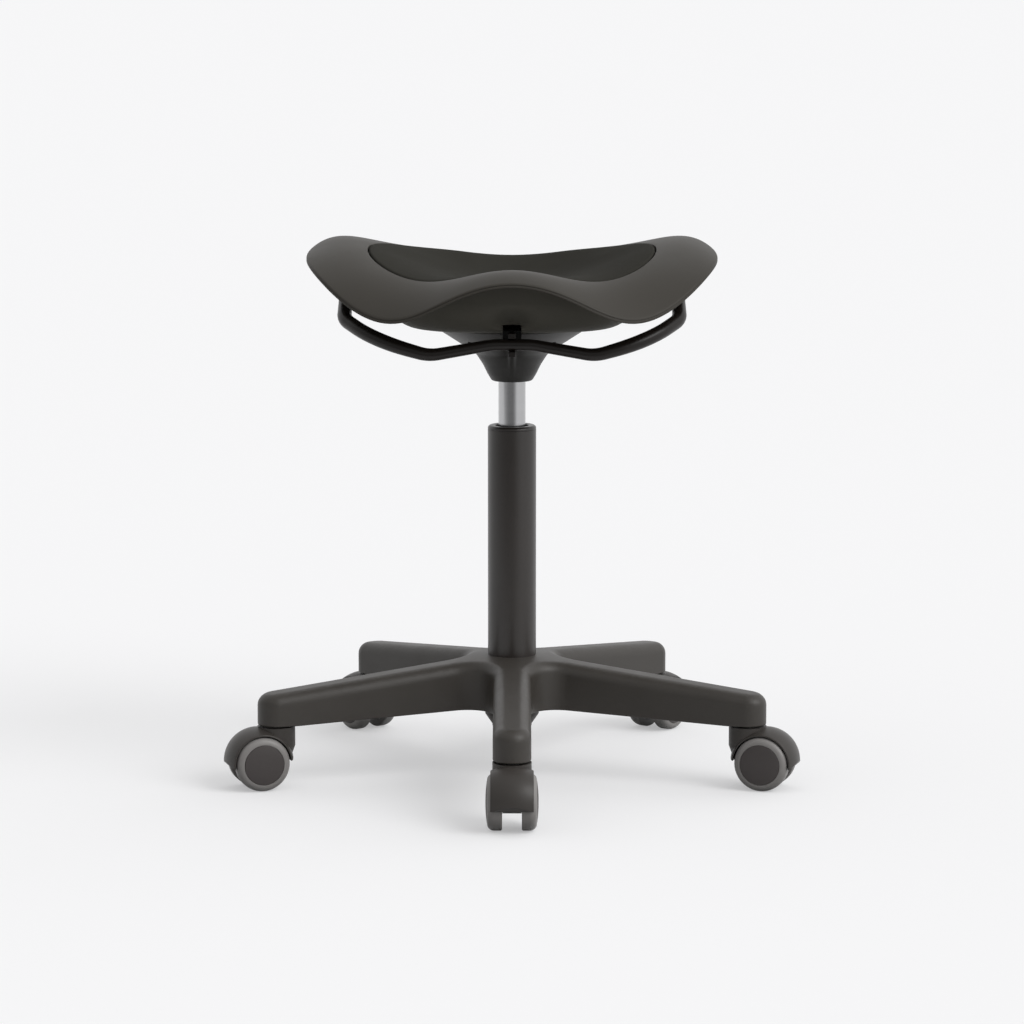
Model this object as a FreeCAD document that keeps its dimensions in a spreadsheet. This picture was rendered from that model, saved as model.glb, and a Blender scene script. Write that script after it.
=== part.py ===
import FreeCAD, Part
import math
import os
import Sketcher
from FreeCAD import Placement, Rotation, Vector

# Height-adjustable saddle stool on five twin-wheel casters.
# Lengths are millimetres. The origin is on the floor under the column, +Z is up,
# and the raised front of the saddle points along -Y.

# Driving dimensions

LENGTHS = {
    # Shared clearances and the overrun of cuts
    "running_fit": 0.05,
    "seat_gap": 0.3,
    "cut_overrun": 10,
    # Column tube and gas lift
    "tube_radius": 25,
    "tube_wall": 1.8,
    "tube_bottom": 62,
    "tube_length": 302,
    "tube_rim_round": 4,
    "tube_mouth_radius": 17,
    "tube_plate": 3,
    "bush_length": 78,
    "cylinder_radius": 14,
    "cylinder_wall": 1.6,
    "cylinder_bottom": 112,
    "cylinder_head": 14,
    "cylinder_straight_top": 410,
    "cylinder_top": 450,
    "cylinder_top_radius": 13.3,
    "valve_pin_radius": 3,
    "valve_pin_reach": 6,
    "valve_pin_depth": 18,
    "valve_pin_head_radius": 5,
    "valve_pin_head_thickness": 2,
    "rod_guide_height": 13,
    "rod_radius": 5,
    "rod_tail_radius": 4,
    "rod_shoulder_radius": 8,
    "rod_shoulder_height": 3,
    "rod_top": 322,
    "piston_height": 14,
    "piston_neck_radius": 3.5,
    "washer_radius": 16,
    "washer_thickness": 1.5,
    "ball_radius": 2.4,
    "ball_circle": 11.5,
    "cage_thickness": 2.4,
    "cage_band": 3.6,
    "bumper_radius": 18,
    "bumper_height": 8,
    "clip_radius": 7,
    "clip_thickness": 1.2,
    "clip_groove_depth": 0.8,
    "rod_tail_below_clip": 2,
    # Star base
    "arm_width": 38,
    "arm_top_at_hub": 124,
    "arm_top_at_end": 98.6,
    "arm_under_at_hub": 72.2,
    "arm_under_at_end": 65.2,
    "arm_web_round": 30,
    "arm_edge_round": 12.5,
    "arm_under_round": 1.5,
    "hub_skirt_radius": 28,
    "hub_skirt_bottom": 48,
    "hub_skirt_tip_radius": 20.5,
    "hub_skirt_tip_height": 2,
    "hub_skirt_cone": 13,
    "hub_clip_bore": 12,
    "arm_shell": 5,
    "arm_pocket_start": 60,
    "arm_pocket_rib": 6,
    "arm_pocket_split": 146,
    "arm_pocket_end": 226,
    "arm_inner_pocket_top": 106,
    "arm_outer_pocket_top": 94,
    # Casters
    "caster_circle": 253.8,
    "stem_radius": 5.5,
    "stem_length": 22,
    "stem_root": 20,
    "stem_collar_radius": 9,
    "stem_collar_height": 1,
    "stem_tip_chamfer": 1,
    "stem_groove_depth": 0.5,
    "stem_groove_width": 3,
    "hood_top": 63.6,
    "hood_neck_radius": 19.3,
    "hood_neck_height": 20,
    "hood_tail_radius": 15.4,
    "hood_tail_height": 31,
    "hood_radius": 35.2,
    "hood_side_radius": 30.6,
    "hood_width": 42.4,
    "hood_edge_round": 1.2,
    "hood_lip_height": 30,
    "hood_lip_bottom": 25.6,
    "hood_lip_run": 3.2,
    "hood_sole": 20.5,
    "hood_sole_half": 8,
    "hood_heel_run": 12,
    "hood_heel_height": 21.8,
    "trail": 18.9,
    "wheel_radius": 28,
    "wheel_spacing": 19.4,
    "wheel_width": 16.3,
    "wheel_running_gap": 1.2,
    "wheel_pocket_gap": 0.4,
    "axle_radius": 3,
    "axle_end_gap": 1.4,
    "tread_seat_radius": 20.6,
    "tread_shoulder": 7.5,
    "tread_shoulder_bulge": 1.4,
    "tread_inner_bevel": 1,
    "cap_dome": 1.5,
    "cap_flat_radius": 5,
    "core_recess_depth": 6,
    "core_recess_radius": 18,
    "core_boss_radius": 6.5,
    # Saddle
    "saddle_half_width": 210.5,
    "saddle_front": 175,
    "saddle_back": 172,
    "saddle_net_half_width": 212,
    "saddle_net_half_depth": 178,
    "saddle_datum": 420,
    "saddle_rise": 150,
    "saddle_thickness": 13,
    "saddle_rim_thickness": 4,
    "saddle_edge_round": 1.8,
    "saddle_under_round": 1.2,
    "pad_half_width": 148,
    "pad_front": 125,
    "pad_back": 125,
    "pad_recess": 6,
    "pad_groove": 1.1,
    "pad_crown": 2.5,
    "pad_sunk": 0.6,
    "pad_edge_round": 1.6,
    # Seat pan under the saddle
    "pan_half_width": 130,
    "pan_front": 108,
    "pan_back": 122,
    "pan_bottom": 466.5,
    "pan_round": 34,
    "pan_wall": 3.5,
    "slot_width": 19,
    "slot_back": 14,
    "slot_top": 482,
    "slot_bottom": 452,
    # Mechanism housing
    "housing_bottom": 407,
    "housing_collar_radius": 23.6,
    "housing_collar_round": 3,
    "cone_foot_radius": 24.6,
    "cone_foot_height": 8,
    "cone_top_radius": 34.8,
    "cone_top_height": 28,
    "cone_flare_radius": 42,
    "cone_flare_height": 35.6,
    "dish_radius": 78,
    "dish_rim_height": 58,
    "housing_wall": 4,
    "housing_floor_height": 27,
    "socket_radius": 18,
    "socket_top": 446,
    # Fixing plate, inserts and screws
    "plate_half_side": 54,
    "plate_thickness": 3,
    "plate_corner": 10,
    "screw_spread": 40,
    "screw_radius": 3,
    "screw_head_radius": 5.5,
    "screw_head_height": 3.5,
    "screw_seat_depth": 6,
    "screw_boss_radius": 8,
    "insert_radius": 5,
    "insert_length": 7,
    "post_radius": 8,
    # Height bail and its bearings
    "bail_radius": 6,
    "bail_front": 100,
    "bail_crown_half": 20,
    "bail_crown_height": 457.6,
    "bail_dip_half": 83.5,
    "bail_dip_height": 446.6,
    "bail_flank_half": 137.7,
    "bail_flank_front": 92.9,
    "bail_flank_height": 461.2,
    "bail_corner_half": 170.3,
    "bail_corner_front": 47.8,
    "bail_corner_height": 478,
    "bail_side_half": 171,
    "pivot_back": 20,
    "pivot_height": 512,
    "bail_end_half": 144,
    "bail_crown_bend": 70,
    "bail_dip_bend": 45,
    "bail_flank_bend": 87,
    "bail_corner_bend": 30,
    "bail_end_bend": 13,
    "bearing_inner": 146,
    "bearing_outer": 157,
    "bearing_half_depth": 11,
    "bearing_wall": 4.5,
    "bearing_flange": 4,
    "bearing_flange_half": 26,
    "bearing_screw_radius": 2,
    "bearing_screw_offset": 19,
    "bearing_screw_head_radius": 3.6,
    "bearing_screw_head_height": 2,
    "bearing_screw_length": 10.5,
    "bearing_screw_seat": 1.3,
    # Trip lever and its pin
    "lever_pivot_front": 34,
    "lever_thickness": 7,
    "lever_pin_radius": 2.5,
    "lever_pin_half_length": 13,
    "lever_eye_radius": 6,
    "lever_tail_back": 6,
    "lever_tail_top": 462,
    "lever_neck_front": 76,
    "lever_neck_bottom": 454.5,
    "jaw_reach": 6,
    "jaw_gap": 0.8,
    "jaw_thickness": 5,
    "jaw_back_wall": 8,
    "lug_half_gap": 4.2,
    "lug_thickness": 5,
    "lug_half_depth": 7,
}

ARM_COUNT = 5
BALL_COUNT = 10
FIRST_ARM_ANGLE = -90
SADDLE_ROUNDNESS = 2.3
PAD_ROUNDNESS = 2.2
OUTLINE_POINTS = 32

# The saddle is shaped by a net of control heights. The stations are shares of the
# net's half width and half depth. Each row of heights is a share of the saddle's
# rise, from the outer edge to the middle, and the rows go from the front to the back.
# The thickness shares thicken the shell from its rim towards its middle.
across_shares = (-1, -8 / 9, -2 / 3, -1 / 3, 0, 1 / 3, 2 / 3, 8 / 9, 1)
along_shares = (-1, -7 / 9, -1 / 3, 1 / 3, 7 / 9, 1)
height_shares = (
    (0.07, 0.01, 0.08, 0.59, 0.75),
    (0.51, 0.49, 0.59, 0.71, 0.91),
    (0.81, 0.85, 0.87, 0.63, 0.62),
    (0.80, 0.94, 0.89, 0.63, 0.54),
    (0.83, 0.89, 0.83, 0.71, 0.64),
    (0.85, 0.83, 0.80, 0.75, 0.69),
)
crown_shares = (0, 0, 1, 1, 0, 0)
thickness_shares = (
    (0, 0, 0, 0, 0),
    (0, 0, 0, 0.55, 0.7),
    (0, 0.25, 0.9, 1, 1),
    (0, 0.25, 0.9, 1, 1),
    (0, 0, 0, 0.55, 0.7),
    (0, 0, 0, 0, 0),
)

# How far an arc stands off its chord: as a share of the radius on a quarter round, and
# as a share of the rise on a shallow dome.
quarter_round_share = 1 - math.sqrt(0.5)
dome_share = 0.25

doc = FreeCAD.newDocument("ergonomic_stool")
sheet = doc.addObject("Spreadsheet::Sheet", "Sizes")
for row, (alias, length) in enumerate(LENGTHS.items(), start=1):
    sheet.set("A%d" % row, alias.replace("_", " "))
    sheet.set("B%d" % row, str(length))
    sheet.setAlias("B%d" % row, alias)
doc.recompute()


class Size:
    """A length with its value and the expression that binds it to the sheet."""

    def __init__(self, value, text):
        self.value = value
        self.text = text

    def __float__(self):
        return float(self.value)

    def __add__(self, other):
        other = as_size(other)
        return Size(self.value + other.value, "(%s + %s)" % (self.text, other.text))

    def __sub__(self, other):
        other = as_size(other)
        return Size(self.value - other.value, "(%s - %s)" % (self.text, other.text))

    def __mul__(self, other):
        other = as_size(other)
        return Size(self.value * other.value, "(%s * %s)" % (self.text, other.text))

    def __truediv__(self, other):
        other = as_size(other)
        return Size(self.value / other.value, "(%s / %s)" % (self.text, other.text))

    def __neg__(self):
        return Size(-self.value, "(-%s)" % self.text)

    def root(self):
        return Size(math.sqrt(self.value), "sqrt(%s)" % self.text)

    __radd__ = __add__
    __rmul__ = __mul__


def as_size(number):
    """Wrap a plain number so that it can stand in a sum of sizes."""
    if isinstance(number, Size):
        return number
    return Size(float(number), repr(float(number)))


class Sizes:
    """The sheet's cells, each as a Size under its alias."""


sz = Sizes()
for alias in LENGTHS:
    setattr(sz, alias, Size(float(sheet.get(alias)), "Sizes." + alias))

NODES = []


# Shared ways of making a piece

def node(thing, label):
    """Give a finished piece its name."""
    thing.Label = label
    NODES.append(thing)
    return thing


def bind(thing, **properties):
    """Tie properties of a document object to the sheet."""
    for name, length in properties.items():
        thing.setExpression(name, as_size(length).text)


def origin_plane(body, role):
    """Find one of the body's own origin planes."""
    return [feature for feature in body.Origin.OriginFeatures if feature.Role == role][0]


def new_body(name):
    return doc.addObject("PartDesign::Body", name)


def new_sketch(body, name, role, lift=None):
    """Attach a sketch to one of the body's planes, lifted along its normal."""
    sketch = body.newObject("Sketcher::SketchObject", name)
    sketch.AttachmentSupport = [(origin_plane(body, role), "")]
    sketch.MapMode = "FlatFace"
    if lift is not None:
        bind(sketch, **{".AttachmentOffset.Base.z": lift})
    return sketch


def tie(sketch, constraint, length):
    """Add one dimension to a sketch and bind it to the sheet."""
    index = sketch.addConstraint(constraint)
    sketch.setExpression("Constraints[%d]" % index, length.text)


def draw_outline(sketch, points):
    """Draw a closed outline. A third entry on a point is the sagitta of an arc to the next."""
    corners = [(as_size(point[0]), as_size(point[1])) for point in points]
    bulges = [as_size(point[2]) if len(point) > 2 else None for point in points]
    count = len(corners)
    first = sketch.GeometryCount
    for index in range(count):
        start = Vector(float(corners[index][0]), float(corners[index][1]), 0)
        after = corners[(index + 1) % count]
        end = Vector(float(after[0]), float(after[1]), 0)
        if bulges[index] is None:
            sketch.addGeometry(Part.LineSegment(start, end), False)
        else:
            chord = end - start
            side = Vector(chord.y, -chord.x, 0).normalize()
            middle = (start + end) * 0.5 + side * float(bulges[index])
            sketch.addGeometry(Part.Arc(start, middle, end), False)
    ends = []
    for index in range(count):
        arc = bulges[index] is not None
        forward = not arc or float(bulges[index]) > 0
        ends.append((1, 2) if forward else (2, 1))
    for index in range(count):
        follower = (index + 1) % count
        sketch.addConstraint(Sketcher.Constraint(
            "Coincident", first + index, ends[index][1], first + follower, ends[follower][0]))
    for index in range(count):
        for kind, length in zip(("DistanceX", "DistanceY"), corners[index]):
            tie(sketch, Sketcher.Constraint(
                kind, first + index, ends[index][0], float(length)), length)
        if bulges[index] is not None:
            bow = bulges[index]
            after = corners[(index + 1) % count]
            width = after[0] - corners[index][0]
            height = after[1] - corners[index][1]
            chord = (width * width + height * height).root()
            back = (chord * chord - 4.0 * bow * bow) / (8.0 * bow * chord)
            if abs(float(height)) > abs(float(width)):
                centre = (corners[index][0] + after[0]) / 2.0 - height * back
                kind = "DistanceX"
            else:
                centre = (corners[index][1] + after[1]) / 2.0 + width * back
                kind = "DistanceY"
            tie(sketch, Sketcher.Constraint(kind, first + index, 3, float(centre)), centre)


def draw_circle(sketch, x, y, radius):
    """Draw a circle whose centre and radius follow the sheet."""
    index = sketch.addGeometry(
        Part.Circle(Vector(float(x), float(y), 0), Vector(0, 0, 1), float(radius)), False)
    tie(sketch, Sketcher.Constraint("DistanceX", index, 3, float(x)), as_size(x))
    tie(sketch, Sketcher.Constraint("DistanceY", index, 3, float(y)), as_size(y))
    tie(sketch, Sketcher.Constraint("Radius", index, float(radius)), radius)


def turn(body, name, points, cut=False):
    """Revolve an outline of (radius, height) points about the body's own Z axis."""
    sketch = new_sketch(body, name + "_section", "XZ_Plane")
    draw_outline(sketch, points)
    kind = "PartDesign::Groove" if cut else "PartDesign::Revolution"
    feature = body.newObject(kind, name)
    feature.Profile = sketch
    feature.ReferenceAxis = (sketch, ["V_Axis"])
    feature.Angle = 360
    body.Tip = feature
    return feature


def turned(name, points):
    """A piece turned in one go."""
    body = new_body(name)
    turn(body, name + "_turning", points)
    return body


def raise_from(body, name, draw, bottom, top, cut=False):
    """Pad or pocket what draw puts in a horizontal sketch, between two heights."""
    sketch = new_sketch(body, name + "_outline", "XY_Plane", bottom)
    draw(sketch)
    feature = body.newObject("PartDesign::Pocket" if cut else "PartDesign::Pad", name)
    feature.Profile = sketch
    feature.Type = "Length"
    feature.Reversed = cut
    bind(feature, Length=top - bottom)
    body.Tip = feature
    return feature


def repeat_round(body, name, features, count):
    """Repeat features evenly about the body's Z axis."""
    pattern = body.newObject("PartDesign::PolarPattern", name)
    pattern.Originals = features
    pattern.Axis = (features[0].Profile[0], ["N_Axis"])
    pattern.Angle = 360
    pattern.Occurrences = count
    body.Tip = pattern
    return pattern


def round_edges(body, name, radius, choose):
    """Fillet the edges of the body's tip that the test picks out."""
    doc.recompute()
    base = body.Tip
    picked = ["Edge%d" % (index + 1) for index, edge in enumerate(base.Shape.Edges) if choose(edge)]
    fillet = body.newObject("PartDesign::Fillet", name)
    fillet.Base = (base, picked)
    bind(fillet, Radius=radius)
    body.Tip = fillet
    return fillet


def near(first, second):
    return abs(float(first) - float(second)) < 1e-3


def level(height):
    """Test for edges that lie flat at one height."""
    def test(edge):
        box = edge.BoundBox
        return near(box.ZMin, height) and near(box.ZMax, height)
    return test


def ring(height, radius):
    """Test for round edges about Z at one height and radius."""
    def test(edge):
        box = edge.BoundBox
        return level(height)(edge) and near(box.XMax, radius)
    return test


def cylinder(name, radius, height, bottom):
    """A plain upright cylinder as a Part primitive."""
    thing = doc.addObject("Part::Cylinder", name)
    bind(thing, Radius=radius, Height=height)
    bind(thing, **{".Placement.Base.z": bottom})
    return thing


def group(name, things):
    """Several separate solids that share one node."""
    compound = doc.addObject("Part::Compound", name)
    compound.Links = things
    return compound


def cut(name, base, tool):
    result = doc.addObject("Part::Cut", name)
    result.Base = base
    result.Tool = tool
    return result


def solid_feature(name, shape):
    """A piece whose shape is worked out here from the sheet's sizes."""
    thing = doc.addObject("Part::Feature", name)
    thing.Shape = shape
    return thing


# Column tube and gas lift

tube_top = sz.tube_bottom + sz.tube_length
tube_bore = sz.tube_radius - sz.tube_wall
bearing_bottom = sz.tube_bottom + sz.tube_plate
lower_race_top = bearing_bottom + sz.washer_thickness
upper_race_bottom = lower_race_top + 2.0 * sz.ball_radius
upper_race_top = upper_race_bottom + sz.washer_thickness
shoulder_top = upper_race_top + sz.rod_shoulder_height
piston_bottom = sz.rod_top - sz.piston_height
cylinder_bore = sz.cylinder_radius - sz.cylinder_wall
valve_pin_top = sz.cylinder_top + sz.valve_pin_reach
tail_fit = sz.rod_tail_radius + sz.running_fit


def make_column_tube():
    """Steel tube, closed by a plate below and drawn in round the bush above."""
    rim = sz.tube_rim_round
    body = turned("column_tube", [
        (tail_fit, sz.tube_bottom),
        (sz.tube_radius, sz.tube_bottom),
        (sz.tube_radius, tube_top - rim, quarter_round_share * rim),
        (sz.tube_radius - rim, tube_top),
        (sz.tube_mouth_radius, tube_top),
        (sz.tube_mouth_radius, tube_top - sz.tube_wall),
        (tube_bore, tube_top - rim),
        (tube_bore, bearing_bottom),
        (tail_fit, bearing_bottom),
    ])
    return node(body, "column_tube")


def make_guide_bush():
    """Plastic bush in the tube's mouth that the gas cylinder slides in."""
    top = tube_top - sz.tube_rim_round
    neck_top = tube_top - sz.tube_wall
    neck = sz.tube_mouth_radius - sz.seat_gap
    inner = sz.cylinder_radius + sz.running_fit
    body = turned("guide_bush", [
        (inner, top - sz.bush_length),
        (tube_bore, top - sz.bush_length),
        (tube_bore, top - sz.seat_gap),
        (neck, top + sz.seat_gap),
        (neck, neck_top),
        (inner, neck_top),
    ])
    return node(body, "guide_bush")


def make_thrust_bearing():
    """Lower washer, and the ball race in its flat cage, on the tube's plate."""
    outer = cylinder("lower_washer_disc", sz.washer_radius, sz.washer_thickness, bearing_bottom)
    hole = cylinder("lower_washer_hole", tail_fit, sz.washer_thickness, bearing_bottom)
    node(cut("lower_washer", outer, hole), "lower_washer")
    cage = new_body("ball_cage")
    cage_bottom = lower_race_top + sz.ball_radius - sz.cage_thickness / 2.0
    cage_top = cage_bottom + sz.cage_thickness
    raise_from(cage, "cage_ring", lambda sketch: (
        draw_circle(sketch, 0, 0, sz.ball_circle + sz.cage_band),
        draw_circle(sketch, 0, 0, sz.ball_circle - sz.cage_band)), cage_bottom, cage_top)
    hole = raise_from(cage, "cage_hole", lambda sketch: draw_circle(
        sketch, sz.ball_circle, 0, sz.ball_radius + sz.running_fit), cage_bottom, cage_top, cut=True)
    repeat_round(cage, "cage_holes", [hole], BALL_COUNT)
    balls = []
    for index in range(BALL_COUNT):
        ball = doc.addObject("Part::Sphere", "ball_%d" % (index + 1))
        bind(ball, Radius=sz.ball_radius)
        angle = math.radians(360 / BALL_COUNT * index)
        centre = Vector(math.cos(angle), math.sin(angle), 0) * float(sz.ball_circle)
        centre.z = float(lower_race_top + sz.ball_radius)
        ball.Placement = Placement(centre, Rotation())
        balls.append(ball)
    node(group("thrust_bearing", [cage] + balls), "thrust_bearing")


def make_rubber_bumper():
    """Ring round the rod that stops the cylinder softly at the bottom."""
    inner = sz.rod_shoulder_radius + sz.seat_gap
    bottom = upper_race_top + sz.seat_gap
    body = turned("rubber_bumper", [
        (inner, bottom),
        (sz.bumper_radius, bottom),
        (sz.bumper_radius, bottom + sz.bumper_height),
        (inner, bottom + sz.bumper_height),
    ])
    return node(body, "rubber_bumper")


def make_piston_rod():
    """Rod that stands on the bearing, with a shoulder, a tail and a clip groove."""
    clip_top = sz.tube_bottom - sz.seat_gap
    clip_bottom = clip_top - sz.clip_thickness
    groove = sz.rod_tail_radius - sz.clip_groove_depth
    tail_bottom = clip_bottom - sz.rod_tail_below_clip
    body = turned("piston_rod", [
        (0, tail_bottom),
        (sz.rod_tail_radius, tail_bottom),
        (sz.rod_tail_radius, clip_bottom),
        (groove, clip_bottom),
        (groove, clip_top),
        (sz.rod_tail_radius, clip_top),
        (sz.rod_tail_radius, upper_race_top),
        (sz.rod_shoulder_radius, upper_race_top),
        (sz.rod_shoulder_radius, shoulder_top),
        (sz.rod_radius, shoulder_top),
        (sz.rod_radius, piston_bottom),
        (sz.piston_neck_radius, piston_bottom),
        (sz.piston_neck_radius, sz.rod_top),
        (0, sz.rod_top),
    ])
    node(body, "piston_rod")
    washer = turned("upper_washer", [
        (sz.rod_tail_radius, upper_race_bottom),
        (sz.washer_radius, upper_race_bottom),
        (sz.washer_radius, upper_race_top),
        (sz.rod_tail_radius, upper_race_top),
    ])
    node(washer, "upper_washer")
    piston = turned("piston", [
        (sz.piston_neck_radius, piston_bottom),
        (cylinder_bore - sz.running_fit, piston_bottom),
        (cylinder_bore - sz.running_fit, sz.rod_top),
        (sz.piston_neck_radius, sz.rod_top),
    ])
    node(piston, "piston")
    clip = turned("retaining_clip", [
        (groove, clip_bottom),
        (sz.clip_radius, clip_bottom),
        (sz.clip_radius, clip_top),
        (groove, clip_top),
    ])
    node(clip, "retaining_clip")


def make_gas_cylinder():
    """Polished cylinder, closed at its tapered head, with a bore for the valve pin."""
    bottom = sz.cylinder_bottom
    pin_bore = sz.valve_pin_radius + sz.running_fit
    chamber_top = sz.cylinder_top - sz.cylinder_head
    body = turned("gas_cylinder", [
        (cylinder_bore, bottom),
        (sz.cylinder_radius, bottom),
        (sz.cylinder_radius, sz.cylinder_straight_top),
        (sz.cylinder_top_radius, sz.cylinder_top),
        (pin_bore, sz.cylinder_top),
        (pin_bore, chamber_top),
        (cylinder_bore - sz.cylinder_wall, chamber_top),
        (cylinder_bore, chamber_top - sz.cylinder_wall),
    ])
    node(body, "gas_cylinder")
    guide = turned("rod_guide", [
        (sz.rod_radius + sz.running_fit, bottom),
        (cylinder_bore, bottom),
        (cylinder_bore, bottom + sz.rod_guide_height),
        (sz.rod_radius + sz.running_fit, bottom + sz.rod_guide_height),
    ])
    return node(guide, "rod_guide")


def make_valve_pin():
    """Release pin in the cylinder's head, with a wide foot inside the chamber."""
    bottom = sz.cylinder_top - sz.valve_pin_depth
    foot_top = bottom + sz.valve_pin_head_thickness
    body = turned("valve_pin", [
        (0, bottom),
        (sz.valve_pin_head_radius, bottom),
        (sz.valve_pin_head_radius, foot_top),
        (sz.valve_pin_radius, foot_top),
        (sz.valve_pin_radius, valve_pin_top),
        (0, valve_pin_top),
    ])
    return node(body, "valve_pin")


# Star base

def arm_height(at_hub, at_end, radius):
    """Height of the arm's sloping top or underside at a distance from the column."""
    share = (radius - sz.tube_radius) / (sz.caster_circle - sz.tube_radius)
    return at_hub + (at_end - at_hub) * share


def make_star_base():
    """One moulding: a hub, five tapering arms with rounded ends, and pockets below."""
    body = new_body("star_base")
    half = sz.arm_width / 2.0
    reach = sz.caster_circle + half
    floor = sz.arm_under_at_end - sz.cut_overrun
    roof = sz.arm_top_at_hub + sz.cut_overrun
    arm = raise_from(body, "arm_bar", lambda sketch: draw_outline(sketch, [
        (0, -half),
        (sz.caster_circle, -half, half),
        (sz.caster_circle, half),
        (0, half),
    ]), floor, roof)
    repeat_round(body, "arm_bars", [arm], ARM_COUNT)

    crotch = float(half) / math.sin(math.pi / ARM_COUNT)

    def between_arms(edge):
        box = edge.BoundBox
        middle = edge.CenterOfMass
        return box.ZLength > box.XLength + box.YLength and near(math.hypot(middle.x, middle.y), crotch)
    round_edges(body, "arm_webs", sz.arm_web_round, between_arms)

    beyond = reach + sz.cut_overrun
    turn(body, "arm_tops", [
        (0, roof + sz.cut_overrun),
        (0, sz.arm_top_at_hub),
        (sz.tube_radius, sz.arm_top_at_hub),
        (beyond, arm_height(sz.arm_top_at_hub, sz.arm_top_at_end, beyond)),
        (beyond, roof + sz.cut_overrun),
    ], cut=True)
    turn(body, "arm_undersides", [
        (0, floor - sz.cut_overrun),
        (0, sz.arm_under_at_hub),
        (sz.tube_radius, sz.arm_under_at_hub),
        (sz.caster_circle - half, sz.arm_under_at_end),
        (beyond, sz.arm_under_at_end),
        (beyond, floor - sz.cut_overrun),
    ], cut=True)

    def top_rim(edge):
        box = edge.BoundBox
        inside = box.ZMin < float(sz.arm_top_at_end) - float(half)
        middle = edge.valueAt((edge.FirstParameter + edge.LastParameter) / 2)
        far = math.hypot(middle.x, middle.y) > float(sz.tube_radius) + float(sz.running_fit)
        return far and not inside
    round_edges(body, "arm_top_edges", sz.arm_edge_round, top_rim)
    round_edges(body, "arm_under_edges", sz.arm_under_round, lambda edge: (
        edge.BoundBox.ZMax < float(sz.arm_under_at_hub) + float(sz.running_fit)
        and edge.BoundBox.ZMax - edge.BoundBox.ZMin < float(half)
        and edge.CenterOfMass.sub(Vector(0, 0, edge.CenterOfMass.z)).Length > float(sz.tube_radius)))

    turn(body, "hub_skirt", [
        (0, sz.hub_skirt_bottom),
        (sz.hub_skirt_tip_radius, sz.hub_skirt_bottom),
        (sz.hub_skirt_tip_radius, sz.hub_skirt_bottom + sz.hub_skirt_tip_height),
        (sz.hub_skirt_radius, sz.hub_skirt_bottom + sz.hub_skirt_cone),
        (sz.hub_skirt_radius, sz.arm_top_at_hub - sz.arm_edge_round),
        (0, sz.arm_top_at_hub - sz.arm_edge_round),
    ])
    turn(body, "hub_socket", [
        (0, sz.hub_skirt_bottom - sz.cut_overrun),
        (sz.hub_clip_bore, sz.hub_skirt_bottom - sz.cut_overrun),
        (sz.hub_clip_bore, sz.tube_bottom),
        (sz.tube_radius, sz.tube_bottom),
        (sz.tube_radius, roof),
        (0, roof),
    ], cut=True)

    pocket_half = half - sz.arm_shell

    def pocket(start, end):
        return lambda sketch: draw_outline(sketch, [
            (start, -pocket_half),
            (end, -pocket_half),
            (end, pocket_half),
            (start, pocket_half),
        ])
    inner = raise_from(body, "inner_pocket", pocket(sz.arm_pocket_start, sz.arm_pocket_split),
                       floor, sz.arm_inner_pocket_top, cut=True)
    repeat_round(body, "inner_pockets", [inner], ARM_COUNT)
    outer = raise_from(body, "outer_pocket",
                       pocket(sz.arm_pocket_split + sz.arm_pocket_rib, sz.arm_pocket_end),
                       floor, sz.arm_outer_pocket_top, cut=True)
    repeat_round(body, "outer_pockets", [outer], ARM_COUNT)
    stem_hole = raise_from(body, "stem_hole", lambda sketch: draw_circle(
        sketch, sz.caster_circle, 0, sz.stem_radius + sz.running_fit),
        floor, stem_top + sz.seat_gap, cut=True)
    repeat_round(body, "stem_holes", [stem_hole], ARM_COUNT)
    body.Placement = Placement(Vector(), Rotation(Vector(0, 0, 1), FIRST_ARM_ANGLE))
    return node(body, "star_base")


# Casters, each drawn with its stem on the body's Z axis and its wheels trailing along +X

stem_collar_top = sz.hood_top + sz.stem_collar_height
stem_top = stem_collar_top + sz.stem_length
stem_foot = sz.hood_top - sz.stem_root
axle_height = sz.wheel_radius
wheel_inner = sz.wheel_spacing / 2.0
wheel_outer = wheel_inner + sz.wheel_width


def caster_placement(angle):
    turned_out = Rotation(Vector(0, 0, 1), angle)
    return Placement(turned_out.multVec(Vector(float(sz.caster_circle), 0, 0)), turned_out)


def make_stem(number, place):
    """Steel stem: plain in the hood, a collar at its top, a grooved shank in the arm."""
    shank = sz.stem_radius
    groove = shank - sz.stem_groove_depth
    groove_bottom = stem_top - 2.0 * sz.stem_groove_width
    body = turned("caster_stem_%d" % number, [
        (0, stem_foot),
        (shank, stem_foot),
        (shank, sz.hood_top),
        (sz.stem_collar_radius, sz.hood_top),
        (sz.stem_collar_radius, stem_collar_top),
        (shank, stem_collar_top),
        (shank, groove_bottom),
        (groove, groove_bottom),
        (groove, groove_bottom + sz.stem_groove_width),
        (shank, groove_bottom + sz.stem_groove_width),
        (shank, stem_top - sz.stem_tip_chamfer),
        (shank - sz.stem_tip_chamfer, stem_top),
        (0, stem_top),
    ])
    body.Placement = place
    return node(body, "caster_stem_%d" % number)


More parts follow.
